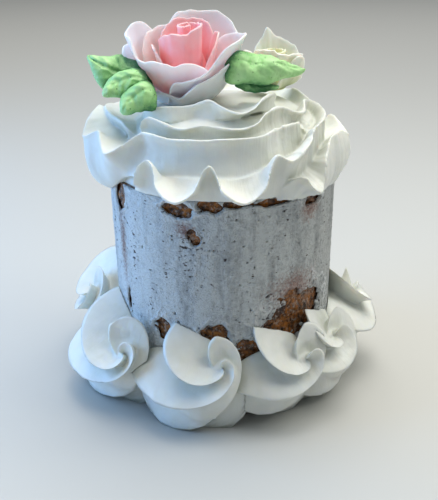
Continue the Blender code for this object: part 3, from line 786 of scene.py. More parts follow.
@dataclass
class ScrapedCoat:
    """The thin coat on the side, with the bare places that the scraper left. Sizes in millimetres.

    The coat is a plain shell, trimmed by a rough round whose radius sinks under it where the side is bare,
    so its edges thin out and break up as scraped cream does. patches are the bare places and hazes the thin
    ones where crumb stains the cream, each by angle, height, half width and half height. The side shade keys
    give painted shade by angle, from 0 to 1, least at the front left towards the cool window and most at
    the front right. ragged is how the edge of a bare place wanders.
    Small flecks are bare too, fleck_mm wide and high. They are fewer the higher fleck_rare is, and crowd by
    fleck_crowd in zones of fleck_zone_mm. strokes are the scraper's upright ones and grain what the crumb
    below lifts, by depth and size. lip is how far the edge of a bare place stands up, and sink how steeply
    the trimming falls inside it.
    """

    inner: float = 51.2
    outer: float = 52.1
    bottom: float = 2.5
    top: float = SPONGE_HEIGHT
    sides: int = 420
    rows: int = 130
    patches: Keys = (
        (-60, 101, 4.5, 9.0), (-57, 50, 1.8, 6.0), (-21, 101.5, 6.5, 3.6), (-15, 91.5, 2.0, 2.0),
        (-13, 88.5, 2.2, 2.4), (-6, 103.5, 5.5, 3.0), (6, 104.5, 8.0, 1.6), (24, 104.0, 9.0, 1.8),
        (47, 101.5, 6.0, 3.0), (41, 49, 17.0, 11.0), (28, 42, 10.0, 8.0), (-4, 43.5, 6.5, 6.0),
        (-32, 42, 4.6, 7.0), (14, 33, 9.0, 7.5), (118, 60, 7.0, 9.0), (150, 94, 5.0, 6.0),
        (196, 52, 10.0, 8.0), (238, 84, 4.0, 6.0),
    )
    # painted shade by angle, from none at the lit front left to most at the front right
    wear: Keys = (
        (-180, 0.4), (-90, 0.2), (-52, 0.0), (-16, 0.22), (20, 0.3), (60, 0.6), (110, 0.5), (180, 0.4),
    )
    hazes: Keys = (
        (-59, 78, 3.4, 26.0), (36, 62, 17.0, 11.0), (45, 97, 8.0, 7.0), (-18, 93, 6.0, 5.0),
        (112, 66, 14.0, 16.0), (156, 88, 12.0, 12.0), (200, 58, 18.0, 14.0),
    )
    ragged: Profile = ((0.42, 5.2), (0.26, 2.1), (0.16, 0.9))
    fleck_mm: Pair = (1.5, 0.9)
    fleck_steep: float = 2.6
    fleck_rare: float = 0.66
    fleck_crowd: float = 0.14
    fleck_zone_mm: Pair = (9.0, 40.0)
    strokes: Profile = ((0.22, 1.0), (0.08, 1 / 3.1))
    stroke_mm: Pair = (5.0, 60.0)
    grain: Profile = ((0.09, 1.5), (0.1, 4.5))
    lip: float = 0.3
    lip_at: float = -0.3
    lip_wide: float = 0.12
    pressed: float = 0.1
    sink: float = 5.5
    bare_from: float = -0.12
    trim_slack: float = 0.25
    trim_range: Pair = (-1.2, 0.9)

    def closeness(self, marks: Keys, angle: float, height: float) -> float:
        """How near a place is to the marks.

        Args:
            marks: Angle, height, half width and half height of each.
            angle: The angle round the cake.
            height: The height.

        Returns:
            1 at the middle of a mark, 0 on its edge and -1 well away from all.
        """
        most = -1.0
        for middle, level, half_width, half_height in marks:
            across = math.radians((angle - middle + 180) % 360 - 180) * self.outer / half_width
            most = max(most, 1 - math.hypot(across, (height - level) / half_height))
        return most

    def bareness(self, angle: float, height: float) -> float:
        """How bare the side is at a place: above 0 where the sponge shows.

        Args:
            angle: The angle round the cake.
            height: The height.

        Returns:
            The measure, about 1 at the middle of a bare place and below -0.5 well away from one.
        """
        way = outward(angle)
        spot = Vector((way.x * self.outer, way.y * self.outer, height))
        (wide, high), (far, tall) = self.fleck_mm, self.fleck_zone_mm
        zone = 0.5 + 0.5 * noise.noise(Vector((spot.x / far, spot.y / far, spot.z / tall)))
        speck = noise.noise(Vector((spot.x / wide, spot.y / wide, spot.z / high)))
        fleck = self.fleck_steep * (speck - self.fleck_rare + self.fleck_crowd * zone)
        return max(self.closeness(self.patches, angle, height) + bumps(spot, self.ragged), fleck)

    def surface(self, angle: float, height: float) -> float:
        """The outer face's radius, moved by strokes and crumb, and raised to a lip round each bare place.

        Args:
            angle: The angle round the cake.
            height: The height.

        Returns:
            The radius there.
        """
        way, (across, upright) = outward(angle), self.stroke_mm
        long = Vector((way.x * self.outer / across, way.y * self.outer / across, height / upright))
        fine = Vector((way.x * self.outer, way.y * self.outer, height))
        stroke = bumps(long, self.strokes) + bumps(fine, self.grain) - self.pressed
        off_edge = (self.bareness(angle, height) - self.lip_at) / self.lip_wide
        return self.outer + stroke + self.lip * math.exp(-(off_edge**2))

    def trim(self, angle: float, height: float) -> float:
        """Returns the radius that the coat is trimmed to, under its inner face where the side is bare."""
        sunk = self.outer + self.trim_slack - self.sink * (self.bareness(angle, height) - self.bare_from)
        return min(self.outer + self.trim_range[1], max(self.inner + self.trim_range[0], sunk))

    def build(self, material: bpy.types.Material) -> bpy.types.Object:
        """Makes the shell, trims it and marks its points for the finish.

        Args:
            material: Its finish.

        Returns:
            The dressed coat.
        """
        heights = [self.bottom + (self.top - self.bottom) * k / self.rows for k in range(self.rows + 1)]
        points: list[Spot] = []
        for k in range(self.sides):
            angle = 360 * k / self.sides
            way = outward(angle)
            section = [(self.surface(angle, z), z) for z in heights]
            section += [(self.inner, self.top), (self.inner, self.bottom)]
            points += [(way.x * reach, way.y * reach, z) for reach, z in section]
        count = len(heights) + 2
        faces: Faces = []
        for k in range(self.sides):
            here, there = k * count, ((k + 1) % self.sides) * count
            for row in range(count):
                after = (row + 1) % count
                faces.append((here + row, there + row, there + after, here + after))
        coat = mesh_piece("scraped_coat", points, faces)
        # the trimmer passes the coat above and below
        levels = [(self.top + 4) * row / self.rows - 1 for row in range(self.rows + 1)]
        rings = barrel(levels, self.sides, 0.5, self.trim)
        combine(coat, mesh_piece("trimmer", *loft(rings, (0, 0, levels[0]), (0, 0, levels[-1]))), Cut.KEEP)
        spots = [vertex.co / MM for vertex in coat.data.vertices]
        angles = [math.degrees(math.atan2(spot.x, -spot.y)) for spot in spots]
        mark(coat, "bare", [self.bareness(angle, spot.z) for angle, spot in zip(angles, spots)])
        # the painted side shade, by angle
        mark(coat, "wear", [float(smooth_key(self.wear, angle)[0]) for angle in angles])
        mark(coat, "haze", [self.closeness(self.hazes, angle, spot.z) for angle, spot in zip(angles, spots)])
        dress(coat, "cream_coat", material)
        return coat


# The ruffled top


@dataclass
class Ribbon:
    """One frilled ribbon of cream round the top, by keys of angle, radius and height, in millimetres.

    The face keys say how its outer side bulges: the shares of the way from foot to rim, outwards and
    upwards, where its curve is pulled, and how far it is drawn in. scoop gives the same shares for its inner
    side. The ribbon reaches depth into the core, and over fade degrees it shrinks to end_size at each end.
    """

    name: str
    rim: Keys
    foot: Keys
    valley: Keys
    face: Keys
    scoop: Pair = (0.55, 0.25)
    rim_thickness: float = 1.3
    rim_round: float = 0.35
    depth: float = 9.0
    fade: float = 9.0
    end_size: float = 0.12

    def section(self, angle: float, steps: int) -> Profile:
        """The ribbon's closed outline at an angle.

        Args:
            angle: The angle round the cake.
            steps: Points along each side.

        Returns:
            Radius and height pairs.
        """
        foot, valley, rim = (smooth_key(keys, angle) for keys in (self.foot, self.valley, self.rim))
        low, high, under = smooth_key(self.face, angle)
        first, last = self.rim[0][0], self.rim[-1][0]
        size = min(1.0, min(angle - first, last - angle) / self.fade + self.end_size)
        rim = foot * (0.5 - 0.5 * size) + valley * (0.5 - 0.5 * size) + rim * size
        outer = foot + (rim - foot) * np.array((low, high)) - np.array((under * size, 0.0))
        inner = valley + (rim - valley) * np.array(self.scoop)
        along = (rim - inner) / np.linalg.norm(rim - inner)
        across = np.array((-along[1], along[0])) * self.rim_thickness / 2
        outline = [bezier(foot, outer, rim - across, k / steps) for k in range(steps + 1)]
        outline.append(rim + along * self.rim_thickness * self.rim_round)
        outline += [bezier(valley, inner, rim + across, 1 - k / steps) for k in range(steps + 1)]
        outline += [valley - np.array((self.depth, 1.0)), foot - np.array((self.depth, 0.0))]
        return [(float(r), float(z)) for r, z in outline]

    def build(self, step: float, steps: int) -> bpy.types.Object:
        """Makes the ribbon as a closed solid that reaches into the core.

        Args:
            step: Degrees between sections.
            steps: Points along each side of a section.

        Returns:
            The ribbon.
        """
        first, last = self.rim[0][0], self.rim[-1][0]
        count = math.ceil((last - first) / step)
        rings: list[list[Spot]] = []
        for k in range(count + 1):
            angle = first + (last - first) * k / count
            way = outward(angle)
            rings.append([(r * way.x, r * way.y, z) for r, z in self.section(angle, steps)])
        ends = [tuple(np.mean(rings[k], axis=0)) for k in (0, -1)]
        return mesh_piece(self.name, *loft(rings, *ends))


@dataclass
class Ruffle:
    """The ruffled cream top: four ribbons on a domed core. Sizes in millimetres, angles in degrees.

    rib_deg is how far apart the coarse and fine ribs stand that rise from foot to rim, and rib_run how
    slowly they change along the radius and the height. They are as deep as drag, and on the side where the
    nozzle was turned, by its middle and half width, turned_depth deeper from rib_from outwards. waves are
    soft bumps by depth and size, none below still_below and growing over still_fade.
    """

    ribbons: tuple[Ribbon, ...]
    core: Profile = ((50.5, 0.0), (50.0, 4.0), (46.0, 14.0), (40.0, 22.0), (30.0, 27.0), (18.0, 29.0))
    sides: int = 160
    step: float = 1.2
    steps: int = 14
    voxel: float = 0.5
    keep: float = 0.55
    waves: Profile = ((0.5, 14.0), (0.16, 4.0))
    still_below: float = 107.0
    still_fade: float = 6.0
    drag: float = 0.14
    turned_middle: float = 48.0
    turned_half: float = 24.0
    turned_depth: float = 0.6
    rib_deg: Pair = (3.4, 1.2)
    rib_run: Pair = (22.0, 40.0)
    rib_from: float = 30.0
    rib_fade: float = 15.0
    rib_fine: float = 0.35

    def rib(self, spot: Vector) -> float:
        """The way that a point moves for the ribs.

        Args:
            spot: Its place, in metres.

        Returns:
            The way, in millimetres.
        """
        angle = math.degrees(math.atan2(spot.x, -spot.y))
        reach = math.hypot(spot.x, spot.y) / MM
        turned_here = math.exp(-(((angle - self.turned_middle) / self.turned_half) ** 4))
        outside = min(1, max(0, (reach - self.rib_from) / self.rib_fade))
        depth = self.drag + self.turned_depth * turned_here * outside
        run, rise = self.rib_run
        wave, fine = (
            noise.noise(Vector((angle / wide, reach / run, spot.z / (rise * MM)))) for wide in self.rib_deg
        )
        return depth * (wave + self.rib_fine * fine)

    def wave(self, spot: Vector) -> float:
        """Returns the way that a point in metres moves for the soft waves, in millimetres."""
        share = min(1.0, max(0.0, spot.z / MM - self.still_below) / self.still_fade)
        return bumps(spot / MM, self.waves) * share

    def build(self, roses: Sequence["Rose"], material: bpy.types.Material) -> bpy.types.Object:
        """Joins the ribbons and cuts them to sit on the cake and under the roses.

        Args:
            roses: The roses that stand in it.
            material: Its finish.

        Returns:
            The dressed top.
        """
        profile = [(0.0, RUFFLE_BASE)]
        profile += [(radius, RUFFLE_BASE + height) for radius, height in self.core]
        profile.append((0.0, profile[-1][1]))
        top = turned("ruffled_cream", profile, self.sides)
        for ribbon in self.ribbons:
            combine(top, ribbon.build(self.step, self.steps), Cut.JOIN)
        soften(top, self.voxel, 3, self.keep)
        press(top, self.rib)
        press(top, self.wave)
        combine(top, body_cutter(), Cut.REMOVE)
        for rose in roses:
            combine(top, rose.pocket_cutter(), Cut.REMOVE)
        dress(top, "top_ruffle", material)
        return top


RIBBONS = (
    Ribbon(
        name="skirt",
        scoop=(0.4, 0.95),
        rim=(
            (-44, 56, 107), (-38.5, 60.5, 114), (-35.5, 58.6, 120), (-31.5, 57.2, 122.6),
            (-28.2, 58.6, 120.4), (-25.4, 62, 114), (-17, 65, 109.6), (-10.2, 62.4, 114), (-8.2, 59, 120),
            (-5.4, 57.4, 122.6), (-2.8, 58.8, 120), (-0.8, 61.8, 114), (7, 64.4, 109.6),
            (14.8, 62.6, 114), (18.4, 59, 121.5), (21.8, 57.4, 125.2), (27, 58.6, 122.4), (38, 56, 127),
            (48, 51, 131), (80, 46, 131), (110, 44, 131), (140, 42, 129),
        ),
        foot=((-44, 52.9, 106.3), (25, 52.9, 106.3), (45, 51, 116), (80, 46, 120), (140, 42, 120)),
        valley=(
            (-44, 51, 113), (-16, 52.5, 116), (6, 52.5, 116), (21, 51, 119), (40, 47, 122), (60, 44, 127),
            (140, 40, 126),
        ),
        face=((-44, 0.25, 0.6, 0), (140, 0.25, 0.6, 0)),
    ),
    Ribbon(
        name="sweep",
        rim=(
            (24, 56, 112), (29, 60, 117.5), (39, 62.5, 108), (48, 57, 120), (58, 54, 126), (72, 54, 125),
            *frill(88, 248, 16, (57, 119), (54, 124)), (256, 56, 127), (267, 56, 132.5), (277, 59.5, 129),
            (285, 62.6, 123.5), (295, 57.5, 128), (307, 60.5, 121.5), (319, 48.5, 130.5),
            (336, 48.5, 129.5), (360, 48.3, 130.3), (378, 47.5, 130.6), (390, 44.5, 132),
            (402, 44, 132.5), (415, 42, 131),
        ),
        foot=(
            (24, 53, 104.5), (39, 53, 103), (90, 53, 102.5), (262, 53, 101), (285, 53.2, 99.5),
            (300, 53, 105), (308, 52.5, 110), (318, 53, 112), (385, 52.5, 112), (400, 49, 117),
            (415, 46, 120),
        ),
        valley=(
            (24, 50, 111), (60, 46, 120), (90, 46, 118), (240, 46, 118), (256, 45, 127), (272, 46, 131),
            (285, 48, 126.5), (300, 48, 123), (318, 44, 126), (360, 43, 126.5), (400, 41, 129),
            (415, 41, 130),
        ),
        face=(
            (24, 0.25, 0.6, 0), (39, 0.3, 0.5, 0), (50, 1.0, 0.35, -4), (72, 1.0, 0.35, -6),
            (90, 1.0, 0.3, -4), (250, 0.9, 0.2, -1), (293, 0.95, 0.15, -2), (308, 0.4, 0.5, 0),
            (319, 0.42, 0.62, 5.5), (390, 0.42, 0.62, 5.0), (415, 0.4, 0.6, 0),
        ),
    ),
    Ribbon(
        name="middle",
        rim=(
            (-54, 45, 127), (-49, 47, 132), (-42, 44.5, 135.8), (-22, 43.5, 132.6), (-11, 42, 134.3),
            (9, 43.5, 132.8), (17, 43, 134), (28, 38, 137), (40, 36, 138),
            *frill(58, 238, 18, (40, 134), (37, 136.5)), (254, 51, 131), (268, 52.5, 133),
            (280, 50, 131.5), (292, 46, 129.5), (302, 45, 126),
        ),
        foot=(
            (-54, 44, 125), (0, 43, 126), (30, 38, 129), (90, 40, 123), (240, 45, 121), (270, 48, 124),
            (292, 45, 125), (302, 45, 122),
        ),
        valley=(
            (-54, 38, 128), (-20, 36, 129.5), (10, 35, 130.5), (40, 30, 132), (90, 32, 130),
            (200, 33, 130), (270, 40, 129), (292, 38, 128), (302, 38, 126),
        ),
        face=(
            (-54, 0.3, 0.6, 2.6), (40, 0.3, 0.6, 3.2), (240, 0.4, 0.5, 0), (270, 0.9, 0.4, -1.5),
            (302, 0.5, 0.5, 0),
        ),
    ),
    Ribbon(
        name="crown",
        rim=(
            (-78, 35, 134), (-60, 37, 136), (-42, 34.5, 138), (-26, 29.5, 138.6), (-19, 28.5, 139.8),
            (-11, 28.5, 141), (5, 34.5, 138.3), (12, 36.5, 137.3), (20, 35.5, 138.3), (33, 31, 141),
            (46, 29, 142), (58, 27, 140), (70, 25, 137),
        ),
        foot=((-78, 36, 131), (-40, 35, 132), (-20, 29, 134), (5, 31, 134), (30, 29, 135), (70, 26, 134)),
        valley=((-78, 28, 132), (-40, 27, 134), (-20, 23, 135), (5, 26, 135), (40, 22, 137), (70, 20, 135)),
        face=((-78, 0.5, 0.5, -0.5), (-30, 0.5, 0.5, 0), (-10, 0.3, 0.6, 1.5), (70, 0.3, 0.6, 1.5)),
    ),
)


# The piped rosettes


@dataclass
class Rosette:
    """One piped swirl, by its place round the cake and its size. Sizes in millimetres, angles in degrees.

    reach and height place it, facing turns it away from straight out and tilt leans its axis back. spin
    turns its arms, and right and above shift its heart as the eye sees it. Over the size less rib, the
    width of the piped rope, an arm goes once round in every turn_mm. ridge is how deep the arms are, with
    its shares at the foot and the heart, lean how far they lie over, fall the share of the way to the next
    arm that a lip drops in, and powers how sharply the lip and the scoop after it curve. horn is how much
    higher the arms stand on one side, and the angle of that side. bulge swells the skirt below the dome,
    and wander makes the arms uneven.
    """

    angle: float
    reach: float
    height: float
    size: float
    spin: float
    right: float
    above: float
    tilt: float = 50.0
    dome: float = 15.0
    root: float = 20.0
    facing: float = 0.0
    horn: Pair = (0.28, 140.0)
    turn_mm: float = 26.0
    rib: float = 6.5
    ridge: float = 11.0
    foot_ridge: float = 0.1
    heart_ridge: float = 0.2
    ridge_power: float = 0.6
    ring_power: float = 0.9
    lean: float = 10.0
    fall: float = 0.2
    powers: Pair = (1.6, 2.2)
    bulge: float = 0.3
    wander: float = 0.16
    wander_mm: float = 5.0
    seed_step: float = 3.7
    arm_fade: float = 4.0
    skirt_coil: float = 0.9
    steps: int = 38
    rings: int = 100
    skirts: int = 16
    # of each arm, how near the eye it runs and how high it stands
    ends: tuple[float, ...] = (-4.0, 3.0, -1.0)
    strengths: tuple[float, ...] = (1.0, 0.88, 1.04)

    def place(self) -> Matrix:
        """Finds how the swirl leans against the cake's side.

        Returns:
            The matrix that sets it there.
        """
        spot = outward(self.angle) * self.reach + Vector((0, 0, self.height))
        way = outward(self.angle + self.facing)
        across = Vector((-way.y, way.x, 0.0))
        tilt = math.radians(self.tilt)
        axis = way * math.sin(tilt) + Vector((0, 0, math.cos(tilt)))
        return stand(spot * MM, (across, axis.cross(across), axis))

    def profile(self) -> list[Spot]:
        """Lists the rings, from the root up over the dome.

        Returns:
            Radius, height and share of the ridge for each.
        """
        hollow = self.size - self.ridge
        rows = []
        for k in range(self.skirts):
            part = k / self.skirts
            bulge = 1 + self.bulge * math.sin(math.pi * part)
            share = self.foot_ridge + (1 - self.foot_ridge) * part**self.ridge_power
            rows.append((hollow * bulge, -self.root * (1 - part), share))
        for k in range(self.rings):
            rise = math.pi / 2 * (k / self.rings) ** self.ring_power
            share = self.heart_ridge + (1 - self.heart_ridge) * math.cos(rise) ** self.ridge_power
            rows.append((hollow * math.cos(rise), self.dome * math.sin(rise), share))
        return rows

    def crest(self, phase: float) -> float:
        """The height between one arm and the next: a thin lip, then a scoop.

        Args:
            phase: The share of the way to the next arm.

        Returns:
            The share of the ridge.
        """
        if phase < self.fall:
            return (1 - phase / self.fall) ** self.powers[0]
        return ((phase - self.fall) / (1 - self.fall)) ** self.powers[1]

    def ring(self, radius: float, height: float, depth: float, grow: float) -> list[Spot]:
        """Finds one star-shaped ring, turned by how far in it lies.

        Args:
            radius: Its radius between the arms.
            height: Its height.
            depth: Its share of the ridge.
            grow: How much larger it is made.

        Returns:
            Its points.
        """
        flat = min(radius / (self.size - self.ridge), 1.0)
        coil = flat * (self.size - self.rib) + self.skirt_coil * max(0.0, -height)
        twist = 360 * coil / self.turn_mm
        rise = math.atan2(max(height, 0) / self.dome, radius / (self.size - self.ridge))
        aside = 1 - flat**2
        arms = len(self.ends)
        points: list[Spot] = []
        for k in range(arms * self.steps):
            phase = (k % self.steps) / self.steps
            # past its lip the slope climbs to the next arm
            arm = (k // self.steps + (phase >= self.fall)) % arms
            near = min(1.0, max(0.0, (radius - self.ends[arm]) / self.arm_fade))
            wander = noise.noise(Vector((self.angle + self.seed_step * arm, radius / self.wander_mm, 0.0)))
            turn = math.radians(self.spin - twist + 360 * k / (arms * self.steps))
            horn = self.horn[0] * math.cos(turn - math.radians(self.horn[1]))
            share = self.crest(phase) * near * (self.strengths[arm] + horn + self.wander * wander)
            push = self.ridge * depth * share
            lean = rise - math.radians(self.lean) * share
            reach = radius + push * math.cos(lean) + grow * math.cos(rise)
            lift = height + push * math.sin(lean) + grow * math.sin(rise)
            x, y = reach * math.cos(turn), reach * math.sin(turn)
            points.append((x + self.right * aside, y + self.above * aside, lift))
        return points

    def build(self, name: str, grow: float) -> bpy.types.Object:
        """Makes the swirl as rings that shrink and twist up over a dome.

        Args:
            name: The object's name.
            grow: How much larger it is made, to cut its neighbour.

        Returns:
            The swirl in its place.
        """
        rings = [self.ring(radius, height, depth, grow) for radius, height, depth in self.profile()]
        tip = (self.right, self.above, self.dome + 0.5 + grow)
        piece = mesh_piece(name, *loft(rings, (0, 0, -self.root - grow), tip))
        piece.data.transform(self.place())
        return piece


@dataclass
class RosetteRing:
    """The ring of rosettes round the foot, each overlapped by the next. Sizes in millimetres."""

    swirls: tuple[Rosette, ...]
    gap: float = 0.7
    waves: Profile = ((0.7, 12.0), (0.2, 3.0))
    floor: Profile = ((0, -40), (120, -40), (120, 0), (0, 0))
    floor_sides: int = 24

    def build(self, material: bpy.types.Material) -> None:
        """Makes the rosettes and cuts each where the next one, the cake and the floor are.

        Args:
            material: Their finish.
        """
        for k, swirl in enumerate(self.swirls):
            after = self.swirls[(k + 1) % len(self.swirls)]
            piece = swirl.build(f"piped_rosette_{k + 1}", 0.0)
            for grow in (0.0, self.gap):
                combine(piece, after.build("neighbour", grow), Cut.REMOVE)
            roughen(piece, self.waves)
            combine(piece, body_cutter(), Cut.REMOVE)
            combine(piece, turned("floor_cutter", self.floor, self.floor_sides), Cut.REMOVE)
            dress(piece, f"rosette_{k + 1}", material)


ROSETTES = (
    Rosette(angle=-106, reach=58.0, height=27.0, size=28.0, spin=100, right=6.0, above=-2.0, facing=26.0),
    Rosette(angle=-62, reach=56.0, height=24.5, size=27.8, spin=130, right=15.0, above=-4.0, facing=26.0),
    Rosette(
        angle=-12, reach=51.5, height=22.0, size=27.0, spin=100, right=11.5, above=3.0, horn=(0.6, 150.0),
    ),
    Rosette(
        angle=25.5, reach=52.0, height=24.0, size=24.5, spin=84, right=8.5, above=-1.5, horn=(0.5, 95.0),
    ),
    Rosette(angle=54, reach=52.0, height=24.5, size=24.5, spin=65, right=-2.0, above=1.0, horn=(0.2, 60.0)),
    Rosette(angle=91, reach=55.5, height=25.0, size=25.5, spin=70, right=5.0, above=-1.0),
    Rosette(angle=131, reach=53.0, height=24.0, size=25.5, spin=20, right=7.0, above=-3.0),
    Rosette(angle=170, reach=53.0, height=24.0, size=25.5, spin=150, right=6.0, above=-2.0),
    Rosette(angle=210, reach=54.0, height=24.5, size=27.0, spin=60, right=7.0, above=-3.0),
)


# The sugar roses


@dataclass
class Petal:
    """One petal about a rose's axis, by its rim. Sizes in millimetres, angles in degrees.

    The rim's keys are angle, radius and height. Its end keys run down to the foot, which rounds the petal's
    outline. spread is how wide the foot is as a share of the rim, belly where its cup is pulled out and up,
    and tint_foot and tint_rim say where its colour lies in the finish. curl is how far the rim rolls out
    and droop the share of that by which it sinks, wave how far it wanders outwards and upwards. The foot of
    an upright petal follows its rim, drawn in by taper.
    """

    rim: Keys
    foot_radius: float
    foot: float
    tint_foot: float
    tint_rim: float
    spread: float = 0.6
    belly: Pair = (0.8, 0.25)
    curl: float = 0.8
    thickness: float = 0.75
    upright: bool = False
    step: float = 2.6
    rows: int = 22
    spread_power: float = 0.7
    tint_power: float = 1.4
    taper: float = 0.92
    curl_power: int = 9
    droop: float = 0.45
    droop_power: int = 16
    wave_deg: float = 11.0
    wave: Pair = (0.5, 0.7)
    seed_step: float = 5.3
    rim_round: float = 0.3
    rim_angle: float = 50.0

    def spot(self, angle: float, rise: float, seed: int) -> Spot:
        """Finds a point of the petal's sheet.

        Args:
            angle: Angle of the rim above it.
            rise: Share of the way from foot to rim.
            seed: Shifts the small waves of the rim.

        Returns:
            The point, about an upright axis.
        """
        radius, height = (float(value) for value in smooth_key(self.rim, angle))
        wave = noise.noise(Vector((angle / self.wave_deg, seed * self.seed_step, 0.0)))
        height += self.wave[1] * wave * rise
        foot = np.array((self.taper * radius if self.upright else self.foot_radius, self.foot))
        rim = np.array((radius + self.wave[0] * wave, max(height, self.foot + 2)))
        reach, lift = bezier(foot, foot + (rim - foot) * np.array(self.belly), rim, rise)
        reach += self.curl * rise**self.curl_power
        lift -= self.droop * self.curl * rise**self.droop_power
        middle = (self.rim[0][0] + self.rim[-1][0]) / 2
        share = self.spread + (1 - self.spread) * rise**self.spread_power
        way = outward(middle + (angle - middle) * share) * reach
        return (way.x, way.y, lift)

    def build(self, name: str, seed: int) -> bpy.types.Object:
        """Makes the petal: a curved sheet with a rolled, wavy rim, given its thickness.

        Args:
            name: The object's name.
            seed: Shifts its waves.

        Returns:
            The petal, about an upright axis.
        """
        first, last = self.rim[0][0], self.rim[-1][0]
        columns = math.ceil((last - first) / self.step)
        wide = columns + 1
        points: list[Spot] = []
        tints: list[float] = []
        for row in range(self.rows + 1):
            rise = row / self.rows
            points += [self.spot(first + (last - first) * k / columns, rise, seed) for k in range(wide)]
            tint = self.tint_foot + (self.tint_rim - self.tint_foot) * rise**self.tint_power
            tints += [tint] * wide
        faces = [
            (a, a + 1, a + wide + 1, a + wide)
            for row in range(self.rows)
            for a in range(row * wide, row * wide + columns)
        ]
        made = mesh_piece(name, points, faces)
        mark(made, "tint", tints)
        skin = made.modifiers.new("thickness", "SOLIDIFY")
        skin.thickness = self.thickness * MM
        skin.offset = 0.0
        edge = made.modifiers.new("rounded rim", "BEVEL")
        edge.width = self.rim_round * self.thickness * MM
        edge.segments = 2
        edge.angle_limit = math.radians(self.rim_angle)
        settle(made)
        return made


@dataclass
class Rose:
    """A sugar rose: petals wrapped on a closed bud. Sizes in millimetres, angles in degrees.

    core is the bud's outline and pocket that of the space it needs in the cream, as radius and height.
    """

    name: str
    node: str
    base: Spot
    lean: float
    core: Profile
    pocket: Profile
    petals: tuple[Petal, ...]
    core_tint: float = 0.0
    core_sides: int = 64
    pocket_sides: int = 72

    def place(self) -> Matrix:
        """Returns the matrix that sets the rose on its base, leant towards the front."""
        return Matrix.Translation(Vector(self.base) * MM) @ Matrix.Rotation(math.radians(self.lean), 4, "X")

    def pocket_cutter(self) -> bpy.types.Object:
        """Makes the space that the cream keeps free under the rose.

        Returns:
            The cutter, in its place.
        """
        piece = turned("pocket", self.pocket, self.pocket_sides)
        piece.data.transform(self.place())
        return piece

    def build(self, slot: Slot, material: bpy.types.Material) -> bpy.types.Object:
        """Joins the petals to the bud.

        Args:
            slot: Its material slot, not used.
            material: Its finish.

        Returns:
            The dressed rose.
        """
        flower = turned(self.name, self.core, self.core_sides)
        mark(flower, "tint", [self.core_tint] * len(flower.data.vertices))
        parts = [flower] + [petal.build(f"{self.name}_petal_{k}", k) for k, petal in enumerate(self.petals)]
        with bpy.context.temp_override(
            active_object=flower, selected_editable_objects=parts, selected_objects=parts
        ):
            bpy.ops.object.join()
        flower.data.transform(self.place())
        dress(flower, self.node, material)
        return flower


